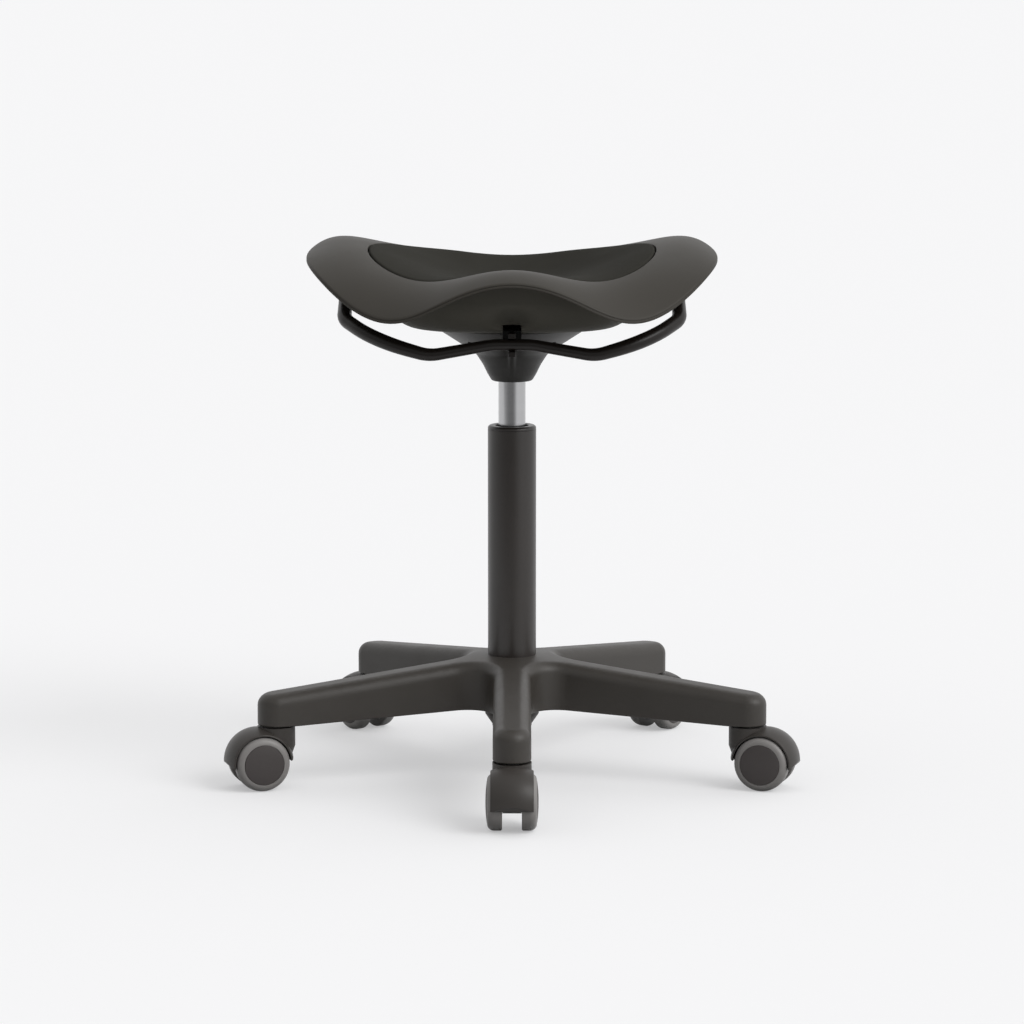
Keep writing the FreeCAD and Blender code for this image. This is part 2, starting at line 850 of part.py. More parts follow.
def make_hood(number, place):
    """Moulded hood: a round neck, a crowned fender over both wheels and a web between."""
    name = "caster_hood_%d" % number
    body = new_body(name)
    turn(body, name + "_neck", [
        (0, sz.hood_top - sz.hood_tail_height),
        (sz.hood_tail_radius, sz.hood_top - sz.hood_tail_height),
        (sz.hood_neck_radius, sz.hood_top - sz.hood_neck_height),
        (sz.hood_neck_radius, sz.hood_top),
        (0, sz.hood_top),
    ])
    half = sz.hood_width / 2.0
    sketch = new_sketch(body, name + "_crown", "XY_Plane", axle_height)
    draw_outline(sketch, [
        (sz.trail, -half),
        (sz.trail + sz.hood_side_radius, -half, sz.hood_radius - sz.hood_side_radius),
        (sz.trail + sz.hood_side_radius, half),
        (sz.trail, half),
    ])
    drum = body.newObject("PartDesign::Revolution", name + "_fender")
    drum.Profile = sketch
    drum.ReferenceAxis = (sketch, ["Edge4"])
    drum.Angle = 360
    body.Tip = drum

    pocket_radius = sz.wheel_radius + sz.wheel_running_gap
    web = wheel_inner - sz.wheel_pocket_gap
    for side, sign in (("left", 1), ("right", -1)):
        sketch = new_sketch(body, "%s_%s_ring" % (name, side), "XZ_Plane",
                            web if sign > 0 else -web)
        draw_circle(sketch, sz.trail, axle_height, pocket_radius)
        space = body.newObject("PartDesign::Pocket", "%s_%s_wheel_space" % (name, side))
        space.Profile = sketch
        space.Type = "Length"
        space.Reversed = sign > 0
        bind(space, Length=half + sz.cut_overrun)
        body.Tip = space

    axle_x = sz.trail
    lip_x = axle_x + sz.hood_radius
    below = -sz.cut_overrun
    sketch = new_sketch(body, name + "_sole", "XZ_Plane")
    draw_outline(sketch, [
        (-sz.hood_neck_radius - sz.cut_overrun, below),
        (lip_x + sz.cut_overrun, below),
        (lip_x + sz.cut_overrun, sz.hood_lip_height),
        (lip_x, sz.hood_lip_height),
        (lip_x - sz.hood_lip_run, sz.hood_lip_bottom),
        (lip_x - sz.hood_heel_run, sz.hood_heel_height),
        (axle_x + sz.hood_sole_half, sz.hood_sole),
        (axle_x - sz.hood_sole_half, sz.hood_sole),
        (-sz.hood_tail_radius, sz.hood_top - sz.hood_tail_height),
        (-sz.hood_neck_radius - sz.cut_overrun, sz.hood_top - sz.hood_tail_height),
    ])
    sole = body.newObject("PartDesign::Pocket", name + "_sole_cut")
    sole.Profile = sketch
    sole.Type = "Length"
    sole.Midplane = True
    bind(sole, Length=sz.hood_width + sz.cut_overrun)
    body.Tip = sole

    round_edges(body, name + "_rim", sz.hood_edge_round, lambda edge: (
        near(abs(edge.BoundBox.YMax), half) and near(abs(edge.BoundBox.YMin), half)
        and near(edge.BoundBox.ZMax, axle_height + sz.hood_side_radius)))
    raise_from(body, name + "_stem_hole", lambda sketch: draw_circle(sketch, 0, 0, sz.stem_radius),
               stem_foot, sz.hood_top + sz.cut_overrun, cut=True)
    sketch = new_sketch(body, name + "_axle_ring", "XZ_Plane")
    draw_circle(sketch, axle_x, axle_height, sz.axle_radius)
    hole = body.newObject("PartDesign::Pocket", name + "_axle_hole")
    hole.Profile = sketch
    hole.Type = "Length"
    hole.Midplane = True
    bind(hole, Length=sz.hood_width + sz.cut_overrun)
    body.Tip = hole
    body.Placement = place
    return node(body, name)


def across_caster(place, sign):
    """Turn a piece drawn along Z so that it lies along the caster's axle."""
    lying = Rotation(Vector(1, 0, 0), -90 * sign)
    local = Placement(Vector(float(sz.trail), 0, float(axle_height)), lying)
    return place.multiply(local)


def make_wheel(number, side, sign, place):
    """One wheel: a moulded core with a domed cap, and a softer tread round it."""
    name = "wheel_core_%d_%s" % (number, side)
    seat = sz.tread_seat_radius
    cap_rim = wheel_outer - sz.cap_dome
    bore = sz.axle_radius + sz.running_fit
    core = turned(name, [
        (bore, wheel_inner),
        (sz.core_boss_radius, wheel_inner),
        (sz.core_boss_radius, wheel_inner + sz.core_recess_depth),
        (sz.core_recess_radius, wheel_inner + sz.core_recess_depth),
        (sz.core_recess_radius, wheel_inner),
        (seat, wheel_inner),
        (seat, cap_rim, dome_share * sz.cap_dome),
        (sz.cap_flat_radius, wheel_outer),
        (0, wheel_outer),
        (0, wheel_outer - sz.axle_end_gap),
        (bore, wheel_outer - sz.axle_end_gap),
    ])
    core.Placement = across_caster(place, sign)
    node(core, name)
    name = "wheel_tread_%d_%s" % (number, side)
    tread = turned(name, [
        (seat, wheel_inner),
        (sz.wheel_radius - sz.tread_inner_bevel, wheel_inner),
        (sz.wheel_radius, wheel_inner + sz.tread_inner_bevel),
        (sz.wheel_radius, wheel_outer - sz.tread_shoulder, sz.tread_shoulder_bulge),
        (seat, cap_rim),
    ])
    tread.Placement = across_caster(place, sign)
    return node(tread, name)


def make_axle(number, place):
    """Steel axle pressed through the hood's web, held clear of both wheel caps."""
    end = wheel_outer - 2.0 * sz.axle_end_gap
    body = turned("caster_axle_%d" % number, [
        (0, -end),
        (sz.axle_radius, -end),
        (sz.axle_radius, end),
        (0, end),
    ])
    body.Placement = across_caster(place, 1)
    return node(body, "caster_axle_%d" % number)


def make_casters():
    for index in range(ARM_COUNT):
        number = index + 1
        place = caster_placement(FIRST_ARM_ANGLE + 360 / ARM_COUNT * index)
        make_stem(number, place)
        make_hood(number, place)
        make_axle(number, place)
        make_wheel(number, "left", 1, place)
        make_wheel(number, "right", -1, place)


# Saddle, pad and pan

def saddle_surface(lift, crown=0.0, under=False):
    """The saddle's upper or under surface, raised by lift, and by crown in its middle."""
    rows = []
    for column, across in enumerate(across_shares):
        line = []
        for row, along in enumerate(along_shares):
            outward = min(column, len(across_shares) - 1 - column)
            height = sz.saddle_datum + sz.saddle_rise * height_shares[row][outward]
            if under:
                growth = sz.saddle_thickness - sz.saddle_rim_thickness
                height = height - sz.saddle_rim_thickness - growth * thickness_shares[row][outward]
            swell = crown * crown_shares[row] if abs(across) < across_shares[-2] else 0
            line.append(Vector(
                across * float(sz.saddle_net_half_width),
                along * float(sz.saddle_net_half_depth),
                float(height) + swell + lift))
        rows.append(line)
    spans_across = len(across_shares) - 3
    spans_along = len(along_shares) - 3
    surface = Part.BSplineSurface()
    surface.buildFromPolesMultsKnots(
        rows,
        [4] + [1] * (spans_across - 1) + [4],
        [4] + [1] * (spans_along - 1) + [4],
        [index / spans_across for index in range(spans_across + 1)],
        [index / spans_along for index in range(spans_along + 1)],
        False, False, 3, 3)
    return surface


def underside_at(x, y):
    """Height of the shell's underside over a place in plan."""
    across = (x / float(sz.saddle_net_half_width) + 1) / 2
    along = (y / float(sz.saddle_net_half_depth) + 1) / 2
    return saddle_surface(0, under=True).value(across, along).z


def rounded_outline(half_width, front, back, power, height):
    """A closed rounded outline, egg-shaped where front and back differ."""
    points = []
    for index in range(OUTLINE_POINTS):
        angle = 2 * math.pi * index / OUTLINE_POINTS
        depth = float(back) if math.sin(angle) > 0 else float(front)
        across = math.copysign(abs(math.cos(angle)) ** (2 / power), math.cos(angle))
        along = math.copysign(abs(math.sin(angle)) ** (2 / power), math.sin(angle))
        points.append(Vector(across * float(half_width), along * depth, float(height)))
    curve = Part.BSplineCurve()
    curve.interpolate(points, PeriodicFlag=True)
    return Part.Face(Part.Wire([curve.toShape()]))


def column_of(outline, height):
    """The solid that stands on an outline."""
    return outline.extrude(Vector(0, 0, float(height)))


def slab(lift, thickness, crown=0.0, under=False):
    """The solid between a lifted saddle surface and a copy of it lower down."""
    face = saddle_surface(float(lift), float(crown), under).toShape()
    return face.extrude(Vector(0, 0, -float(thickness)))


def under_the_shell():
    """All the room below the shell, a seat gap clear of it."""
    return slab(-sz.seat_gap, saddle_height, under=True)


saddle_height = sz.saddle_rise * 2.0


def rim_edges(shape, reach):
    """Edges that run all round a slab's rim, the upper one first."""
    picked = [edge for edge in shape.Edges
              if min(edge.BoundBox.XLength, edge.BoundBox.YLength) > float(reach)]
    return sorted(picked, key=lambda edge: -edge.CenterOfMass.z)


def make_seat_shell():
    """Moulded saddle shell: a shallow recess for the pad, and four posts for the screws."""
    outline = rounded_outline(sz.saddle_half_width, sz.saddle_front, sz.saddle_back,
                              SADDLE_ROUNDNESS, sz.saddle_datum - sz.saddle_rise)
    shape = slab(0, saddle_height).cut(slab(0, 2.0 * saddle_height, under=True))
    shape = shape.common(column_of(outline, saddle_height + sz.saddle_rise))
    shape = shape.makeFillet(float(sz.saddle_edge_round), rim_edges(shape, sz.saddle_front)[:1])
    shape = shape.makeFillet(float(sz.saddle_under_round), rim_edges(shape, sz.saddle_front)[-1:])
    recess = rounded_outline(sz.pad_half_width, sz.pad_front, sz.pad_back, PAD_ROUNDNESS,
                             sz.saddle_datum - sz.saddle_rise)
    room = slab(sz.pad_recess, 2.0 * sz.pad_recess).common(
        column_of(recess, saddle_height + sz.saddle_rise))
    shape = shape.cut(room)
    for place in screw_places():
        root = underside_at(*place) + float(sz.saddle_rim_thickness) / 2
        shape = shape.fuse(upright(sz.post_radius, plate_top, root, place))
    for place in screw_places():
        shape = shape.cut(upright(sz.insert_radius, plate_top, plate_top + sz.insert_length, place))
        shape = shape.cut(upright(sz.screw_radius, plate_top,
                                  plate_top + 2.0 * sz.insert_length, place))
    for place in bearing_screw_places():
        seat = bearing_screw_seat(place)
        shape = shape.cut(upright(sz.bearing_screw_radius, seat,
                                  seat + float(sz.bearing_screw_length), place))
    return node(solid_feature("seat_shell", shape.removeSplitter()), "seat_shell")


def make_seat_pad():
    """Softer pad that lies in the recess, with a fine groove left round it."""
    outline = rounded_outline(sz.pad_half_width - sz.pad_groove, sz.pad_front - sz.pad_groove,
                              sz.pad_back - sz.pad_groove, PAD_ROUNDNESS,
                              sz.saddle_datum - sz.saddle_rise)
    upper = slab(-sz.pad_sunk, sz.pad_recess, sz.pad_crown)
    floor = slab(-sz.pad_recess + sz.seat_gap, sz.saddle_rise)
    shape = upper.cut(floor).common(column_of(outline, saddle_height + sz.saddle_rise))
    shape = shape.makeFillet(float(sz.pad_edge_round), rim_edges(shape, sz.pad_front)[:1])
    return node(solid_feature("seat_pad", shape), "seat_pad")


def bowl(inset, bottom):
    """A bowl with a rounded bottom edge, cut off by the saddle's underside."""
    outline = rounded_outline(sz.pan_half_width - inset, sz.pan_front - inset,
                              sz.pan_back - inset, SADDLE_ROUNDNESS, bottom)
    shape = column_of(outline, sz.saddle_rise)
    foot = [edge for edge in shape.Edges if level(bottom)(edge)]
    shape = shape.makeFillet(float(sz.pan_round - inset), foot)
    return shape.common(under_the_shell())


def lever_slot():
    """The space that the trip lever swings in, through the pan and the dish."""
    back = sz.slot_back + sz.pan_front + sz.cut_overrun
    box = Part.makeBox(float(sz.slot_width), float(back), float(sz.slot_top - sz.slot_bottom),
                       Vector(-float(sz.slot_width) / 2, -float(sz.pan_front + sz.cut_overrun),
                              float(sz.slot_bottom)))
    return box


corner_signs = ((-1, -1), (1, -1), (1, 1), (-1, 1))


def screw_places():
    spread = float(sz.screw_spread)
    return [(spread * across, spread * along) for across, along in corner_signs]


def upright(radius, bottom, top, place):
    """A round column between two heights at a place in plan."""
    return Part.makeCylinder(float(radius), float(top) - float(bottom),
                             Vector(place[0], place[1], float(bottom)))


plate_bottom = sz.pan_bottom + sz.pan_wall
plate_top = plate_bottom + sz.plate_thickness
screw_seat = sz.pan_bottom - sz.screw_seat_depth
lever_pivot_height = sz.bail_crown_height


def make_seat_pan():
    """Bowl-shaped cover under the saddle, clamped between the housing and the plate."""
    shape = bowl(as_size(0), sz.pan_bottom).cut(bowl(sz.pan_wall, plate_bottom))
    for place in screw_places():
        shape = shape.cut(upright(sz.screw_radius, sz.pan_bottom - sz.cut_overrun,
                                  plate_bottom + sz.cut_overrun, place))
    shape = shape.cut(lever_slot())
    return node(solid_feature("seat_pan", shape.removeSplitter()), "seat_pan")


# Mechanism housing and what fixes it

def make_housing():
    """Dish and cone in one casting: a socket for the gas cylinder and lugs for the lever."""
    foot = sz.housing_bottom
    wall = sz.housing_wall
    body = new_body("mechanism_housing")
    turn(body, "housing_outside", [
        (0, foot),
        (sz.housing_collar_radius - sz.housing_collar_round, foot,
         -quarter_round_share * sz.housing_collar_round),
        (sz.housing_collar_radius, foot + sz.housing_collar_round),
        (sz.cone_foot_radius, foot + sz.cone_foot_height),
        (sz.cone_top_radius, foot + sz.cone_top_height),
        (sz.cone_flare_radius, foot + sz.cone_flare_height),
        (sz.dish_radius, foot + sz.dish_rim_height),
        (sz.dish_radius, sz.pan_bottom),
        (0, sz.pan_bottom),
    ])
    turn(body, "housing_inside", [
        (sz.socket_radius, foot + sz.housing_floor_height),
        (sz.cone_top_radius - wall, foot + sz.housing_floor_height + wall),
        (sz.cone_flare_radius - wall / 2.0, foot + sz.cone_flare_height + wall),
        (sz.dish_radius - 2.0 * wall, foot + sz.dish_rim_height),
        (sz.dish_radius - 2.0 * wall, sz.pan_bottom + sz.cut_overrun),
        (0, sz.pan_bottom + sz.cut_overrun),
        (0, sz.socket_top),
        (sz.socket_radius, sz.socket_top),
    ], cut=True)
    turn(body, "cylinder_socket", [
        (0, foot - sz.cut_overrun),
        (sz.cylinder_radius, foot - sz.cut_overrun),
        (sz.cylinder_radius, sz.cylinder_straight_top),
        (sz.cylinder_top_radius, sz.cylinder_top),
        (sz.cylinder_top_radius, sz.cylinder_top + sz.cut_overrun),
        (0, sz.cylinder_top + sz.cut_overrun),
    ], cut=True)
    for index, (across, along) in enumerate(corner_signs):
        x = across * sz.screw_spread
        y = along * sz.screw_spread
        raise_from(body, "screw_boss_%d" % index,
                   lambda sketch: draw_circle(sketch, x, y, sz.screw_boss_radius),
                   foot + sz.cone_flare_height, sz.pan_bottom)
    beyond = sz.dish_radius + sz.cut_overrun
    turn(body, "dish_outside", [
        (sz.cone_top_radius, foot + sz.cone_top_height),
        (sz.cone_flare_radius, foot + sz.cone_flare_height),
        (sz.dish_radius, foot + sz.dish_rim_height),
        (beyond, foot + sz.dish_rim_height),
        (beyond, foot + sz.cone_top_height),
    ], cut=True)
    for index, (across, along) in enumerate(corner_signs):
        x = across * sz.screw_spread
        y = along * sz.screw_spread
        raise_from(body, "screw_hole_%d" % index,
                   lambda sketch: draw_circle(sketch, x, y, sz.screw_radius),
                   foot, sz.pan_bottom + sz.cut_overrun, cut=True)
        raise_from(body, "screw_seat_%d" % index,
                   lambda sketch: draw_circle(sketch, x, y, sz.screw_head_radius + sz.seat_gap),
                   foot, screw_seat, cut=True)
    half = sz.slot_width / 2.0
    raise_from(body, "lever_opening", lambda sketch: draw_outline(sketch, [
        (-half, -sz.dish_radius - sz.cut_overrun),
        (half, -sz.dish_radius - sz.cut_overrun),
        (half, -sz.lever_pivot_front - sz.lug_half_depth),
        (-half, -sz.lever_pivot_front - sz.lug_half_depth),
    ]), sz.slot_bottom, sz.slot_top, cut=True)
    lug_bottom = foot + sz.cone_flare_height
    middle = -sz.lever_pivot_front
    for side, sign in (("left", -1.0), ("right", 1.0)):
        inner = sign * sz.lug_half_gap
        outer = sign * (sz.lug_half_gap + sz.lug_thickness)
        low, high = (inner, outer) if sign > 0 else (outer, inner)
        raise_from(body, "lug_" + side, lambda sketch: draw_outline(sketch, [
            (low, middle - sz.lug_half_depth),
            (high, middle - sz.lug_half_depth),
            (high, middle + sz.lug_half_depth),
            (low, middle + sz.lug_half_depth),
        ]), lug_bottom, sz.pan_bottom - sz.seat_gap)
    sketch = new_sketch(body, "pin_ring", "YZ_Plane")
    draw_circle(sketch, middle, lever_pivot_height, sz.lever_pin_radius)
    hole = body.newObject("PartDesign::Pocket", "pin_hole")
    hole.Profile = sketch
    hole.Type = "Length"
    hole.Midplane = True
    bind(hole, Length=2.0 * sz.lever_pin_half_length)
    body.Tip = hole
    return node(body, "mechanism_housing")


def make_fixings():
    """Steel plate over the pan's floor, threaded inserts, and screws from below."""
    side = float(sz.plate_half_side)
    plate = Part.makeBox(2 * side, 2 * side, float(sz.plate_thickness),
                         Vector(-side, -side, float(plate_bottom)))
    uprights = [edge for edge in plate.Edges if near(edge.BoundBox.ZLength, sz.plate_thickness)]
    plate = plate.makeFillet(float(sz.plate_corner), uprights)
    for place in screw_places():
        plate = plate.cut(upright(sz.screw_radius, plate_bottom - sz.cut_overrun,
                                  plate_top + sz.cut_overrun, place))
    plate = plate.cut(lever_slot())
    node(solid_feature("fixing_plate", plate), "fixing_plate")
    inserts = []
    screws = []
    for place in screw_places():
        insert = upright(sz.insert_radius, plate_top, plate_top + sz.insert_length, place)
        inserts.append(insert.cut(upright(sz.screw_radius, plate_bottom,
                                          plate_top + 2.0 * sz.insert_length, place)))
        head = upright(sz.screw_head_radius, screw_seat - sz.screw_head_height, screw_seat, place)
        shank = upright(sz.screw_radius, screw_seat, plate_top + sz.insert_length, place)
        screws.append(head.fuse(shank))
    node(solid_feature("threaded_inserts", Part.makeCompound(inserts)), "threaded_inserts")
    node(solid_feature("fixing_screws", Part.makeCompound(screws)), "fixing_screws")


# Height bail, its bearings and the trip lever

def bent_path(corners, bends):
    """A wire of straight runs joined by tangent arcs of the given radii."""
    edges = []
    start = corners[0]
    for index in range(1, len(corners) - 1):
        corner = corners[index]
        into = (corner - corners[index - 1]).normalize()
        out = (corners[index + 1] - corner).normalize()
        half_turn = into.getAngle(out) / 2
        setback = bends[index - 1] * math.tan(half_turn)
        arc_start = corner - into * setback
        arc_end = corner + out * setback
        inward = (out - into).normalize()
        centre = corner + inward * (bends[index - 1] / math.cos(half_turn))
        arc_middle = centre - inward * bends[index - 1]
        edges.append(Part.LineSegment(start, arc_start).toShape())
        edges.append(Part.Arc(arc_start, arc_middle, arc_end).toShape())
        start = arc_end
    edges.append(Part.LineSegment(start, corners[-1]).toShape())
    return Part.Wire(edges)


def bail_corners():
    """Corners of the bail's centre line, from the right end round to the left end."""
    pivot = (float(sz.pivot_back), float(sz.pivot_height))
    right = [
        Vector(float(sz.bail_end_half), pivot[0], pivot[1]),
        Vector(float(sz.bail_side_half), pivot[0], pivot[1]),
        Vector(float(sz.bail_corner_half), -float(sz.bail_corner_front),
               float(sz.bail_corner_height)),
        Vector(float(sz.bail_flank_half), -float(sz.bail_flank_front),
               float(sz.bail_flank_height)),
        Vector(float(sz.bail_dip_half), -float(sz.bail_front), float(sz.bail_dip_height)),
        Vector(float(sz.bail_crown_half), -float(sz.bail_front), float(sz.bail_crown_height)),
    ]
    left = [Vector(-corner.x, corner.y, corner.z) for corner in reversed(right)]
    return right + left


def make_height_bail():
    """Bent steel bar that is lifted to release the gas lift."""
    bends = [float(bend) for bend in (
        sz.bail_end_bend, sz.bail_corner_bend, sz.bail_flank_bend, sz.bail_dip_bend,
        sz.bail_crown_bend)]
    corners = bail_corners()
    path = bent_path(corners, bends + bends[::-1])
    start = corners[0]
    section = Part.Wire([Part.Circle(start, corners[1] - start, float(sz.bail_radius)).toShape()])
    shape = path.makePipeShell([section], True, False)
    return node(solid_feature("height_bail", shape), "height_bail")


def bearing_block(sign):
    """One bearing: a block under the wing with a bore for the bail's end, and its screws."""
    inner = float(sz.bearing_inner)
    outer = float(sz.bearing_outer)
    left = inner if sign > 0 else -outer
    half = float(sz.bearing_half_depth)
    bottom = float(sz.pivot_height - sz.bail_radius - sz.bearing_wall)
    block = Part.makeBox(outer - inner, 2 * half, float(sz.saddle_rise),
                         Vector(left, float(sz.pivot_back) - half, bottom))
    lower = [edge for edge in block.Edges if near(edge.BoundBox.ZMax, bottom)
             and near(edge.BoundBox.XLength, outer - inner)]
    block = block.makeFillet(float(sz.bail_radius), lower)
    block = block.common(under_the_shell())
    flange_half = float(sz.bearing_flange_half)
    footprint = Part.makeBox(outer - inner, 2 * flange_half, float(saddle_height),
                             Vector(left, float(sz.pivot_back) - flange_half, bottom))
    flange = slab(-sz.seat_gap, sz.bearing_flange, under=True).common(footprint)
    reach = float(sz.cut_overrun)
    bore = Part.makeCylinder(float(sz.bail_radius + sz.running_fit), outer - inner + 2 * reach,
                             Vector(left - reach, float(sz.pivot_back), float(sz.pivot_height)),
                             Vector(1, 0, 0))
    block = block.fuse(flange).cut(bore)
    for place in bearing_screw_places():
        seat = bearing_screw_seat(place)
        block = block.cut(upright(sz.bearing_screw_radius, seat, seat + reach, place))
        block = block.cut(upright(sz.bearing_screw_head_radius + sz.seat_gap, seat - reach, seat, place))
    return block


def bearing_screw_places():
    """Where the bearings' screws stand, in plan."""
    across = float(sz.bearing_inner + sz.bearing_outer) / 2
    return [(side * across, float(sz.pivot_back) + end * float(sz.bearing_screw_offset))
            for side in (-1, 1) for end in (-1, 1)]


def bearing_screw_seat(place):
    """Height of the spot face under a bearing screw's head."""
    drop = sz.seat_gap + sz.bearing_flange - sz.bearing_screw_seat
    return underside_at(*place) - float(drop)


def make_bearings():
    """Both bail bearings as one node of two blocks, and the screws that hold them."""
    blocks = [bearing_block(sign) for sign in (-1, 1)]
    node(solid_feature("bail_bearings", Part.makeCompound(blocks)), "bail_bearings")
    screws = []
    for place in bearing_screw_places():
        seat = bearing_screw_seat(place)
        head = upright(sz.bearing_screw_head_radius, seat - float(sz.bearing_screw_head_height),
                       seat, place)
        screws.append(head.fuse(upright(sz.bearing_screw_radius, seat,
                                        seat + float(sz.bearing_screw_length), place)))
    node(solid_feature("bearing_screws", Part.makeCompound(screws)), "bearing_screws")


def make_trip_lever():
    """Flat lever: a fork round the bail in front, an eye on the pin, a tail over the valve."""
    body = new_body("trip_lever")
    front = sz.bail_front
    top_jaw = bail_top + sz.jaw_gap
    low_jaw = bail_low - sz.jaw_gap
    mouth = front - sz.bail_radius - sz.jaw_gap
    tip = front + sz.jaw_reach
    back_wall = mouth - sz.jaw_back_wall
    sketch = new_sketch(body, "lever_side", "YZ_Plane")
    draw_outline(sketch, [
        (sz.lever_tail_back, valve_pin_top + sz.seat_gap),
        (sz.lever_tail_back, sz.lever_tail_top),
        (-sz.lever_neck_front, sz.lever_tail_top),
        (-back_wall, top_jaw + sz.jaw_thickness),
        (-tip, top_jaw + sz.jaw_thickness),
        (-tip, top_jaw),
        (-mouth, top_jaw),
        (-mouth, low_jaw),
        (-tip, low_jaw),
        (-tip, low_jaw - sz.jaw_thickness),
        (-back_wall, low_jaw - sz.jaw_thickness),
        (-sz.lever_neck_front, sz.lever_neck_bottom),
        (-sz.lever_pivot_front - sz.lever_eye_radius, sz.lever_neck_bottom),
        (-sz.lever_pivot_front - sz.lever_eye_radius, lever_pivot_height - sz.lever_eye_radius),
        (-sz.lever_pivot_front + sz.lever_eye_radius, lever_pivot_height - sz.lever_eye_radius),
        (-sz.lever_pivot_front + sz.lever_eye_radius, valve_pin_top + sz.seat_gap),
    ])
    pad = body.newObject("PartDesign::Pad", "lever_plate")
    pad.Profile = sketch
    pad.Type = "Length"
    pad.Midplane = True
    bind(pad, Length=sz.lever_thickness)
    body.Tip = pad
    sketch = new_sketch(body, "eye_ring", "YZ_Plane")
    draw_circle(sketch, -sz.lever_pivot_front, lever_pivot_height,
                sz.lever_pin_radius + sz.running_fit)
    eye = body.newObject("PartDesign::Pocket", "lever_eye")
    eye.Profile = sketch
    eye.Type = "Length"
    eye.Midplane = True
    bind(eye, Length=sz.lever_thickness + sz.cut_overrun)
    body.Tip = eye
    return node(body, "trip_lever")


def make_lever_pin():
    """Pin through the housing's lugs that the trip lever turns on."""
    pin = doc.addObject("Part::Cylinder", "lever_pin")
    bind(pin, Radius=sz.lever_pin_radius, Height=2.0 * (sz.lug_half_gap + sz.lug_thickness))
    start = Vector(-float(sz.lug_half_gap + sz.lug_thickness), -float(sz.lever_pivot_front),
                   float(lever_pivot_height))
    pin.Placement = Placement(start, Rotation(Vector(0, 1, 0), 90))
    return node(pin, "lever_pin")


bail_top = sz.bail_crown_height + sz.bail_radius
bail_low = sz.bail_crown_height - sz.bail_radius

make_column_tube()
make_guide_bush()
make_thrust_bearing()
make_rubber_bumper()
make_piston_rod()
make_gas_cylinder()
make_valve_pin()
make_star_base()
make_casters()
make_seat_shell()
make_seat_pad()
make_seat_pan()
make_housing()
make_fixings()
make_height_bail()
make_bearings()
make_trip_lever()
make_lever_pin()

# Check every object, then write one file for each node

doc.recompute()
for thing in doc.Objects:
    if "Invalid" in thing.State or "Error" in thing.State:
        raise RuntimeError("%s did not compute: %s" % (thing.Label, thing.State))
for thing in NODES:
    if thing.Shape.isNull() or not thing.Shape.isValid():
        raise RuntimeError("%s has no valid shape" % thing.Label)
os.makedirs("parts", exist_ok=True)
for thing in NODES:
    thing.Shape.exportStep("parts/%s.step" % thing.Label)
print("wrote %d nodes" % len(NODES))
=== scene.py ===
import math

import bmesh
import bpy
import numpy as np
from mathutils import Matrix, Vector


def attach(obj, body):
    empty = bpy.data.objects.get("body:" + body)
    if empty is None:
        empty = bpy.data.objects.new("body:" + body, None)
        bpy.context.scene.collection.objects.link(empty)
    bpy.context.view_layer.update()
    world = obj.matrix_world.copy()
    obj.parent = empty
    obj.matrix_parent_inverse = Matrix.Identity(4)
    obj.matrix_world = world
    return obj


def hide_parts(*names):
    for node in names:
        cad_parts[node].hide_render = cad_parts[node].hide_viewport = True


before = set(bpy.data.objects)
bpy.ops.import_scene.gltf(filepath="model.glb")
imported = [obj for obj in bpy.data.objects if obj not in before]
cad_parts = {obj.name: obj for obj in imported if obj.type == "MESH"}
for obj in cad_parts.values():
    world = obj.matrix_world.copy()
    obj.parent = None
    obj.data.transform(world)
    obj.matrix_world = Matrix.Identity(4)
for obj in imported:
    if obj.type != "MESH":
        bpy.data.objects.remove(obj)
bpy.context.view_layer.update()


# Star base
# One moulding of glass-filled nylon: a hub with five tapering arms that run into each
# other in wide webs. It leaves the mould with a fine spark-eroded grain.

mm = 0.001


class Value:
    """A node's output in a sum written as a Python expression."""

    def __init__(self, nodes, socket):
        self.nodes = nodes
        self.socket = socket

    def _maths(self, operation, *terms):
        return self.nodes.add("ShaderNodeMath", {"operation": operation},
                              dict(enumerate(terms)))

    def __add__(self, other):
        return self._maths("ADD", self, other)

    def __sub__(self, other):
        return self._maths("SUBTRACT", self, other)

    def __rsub__(self, other):
        return self._maths("SUBTRACT", other, self)

    def __mul__(self, other):
        return self._maths("MULTIPLY", self, other)

    def __truediv__(self, other):
        return self._maths("DIVIDE", self, other)

    def __rtruediv__(self, other):
        return self._maths("DIVIDE", other, self)

    def __abs__(self):
        return self._maths("ABSOLUTE", self)

    __radd__ = __add__
    __rmul__ = __mul__

    def clamped(self):
        return self.nodes.add("ShaderNodeMath", {"operation": "MULTIPLY", "use_clamp": True},
                              {0: self, 1: 1})


class Nodes:
    """A node tree that is written one node at a time."""

    def __init__(self, tree):
        self.tree = tree

    def add(self, kind, settings=None, sockets=None, output=0):
        node = self.tree.nodes.new(kind)
        for name, setting in (settings or {}).items():
            setattr(node, name, setting)
        for name, given in (sockets or {}).items():
            if isinstance(given, Value):
                self.tree.links.new(given.socket, node.inputs[name])
            else:
                node.inputs[name].default_value = given
        return Value(self, node.outputs[output] if len(node.outputs) else None)


def tone(red, green, blue):
    """A colour read off a swatch from 0 to 255, as the renderer wants it."""
    return tuple(((part / 255 + 0.055) / 1.055) ** 2.4 for part in (red, green, blue))


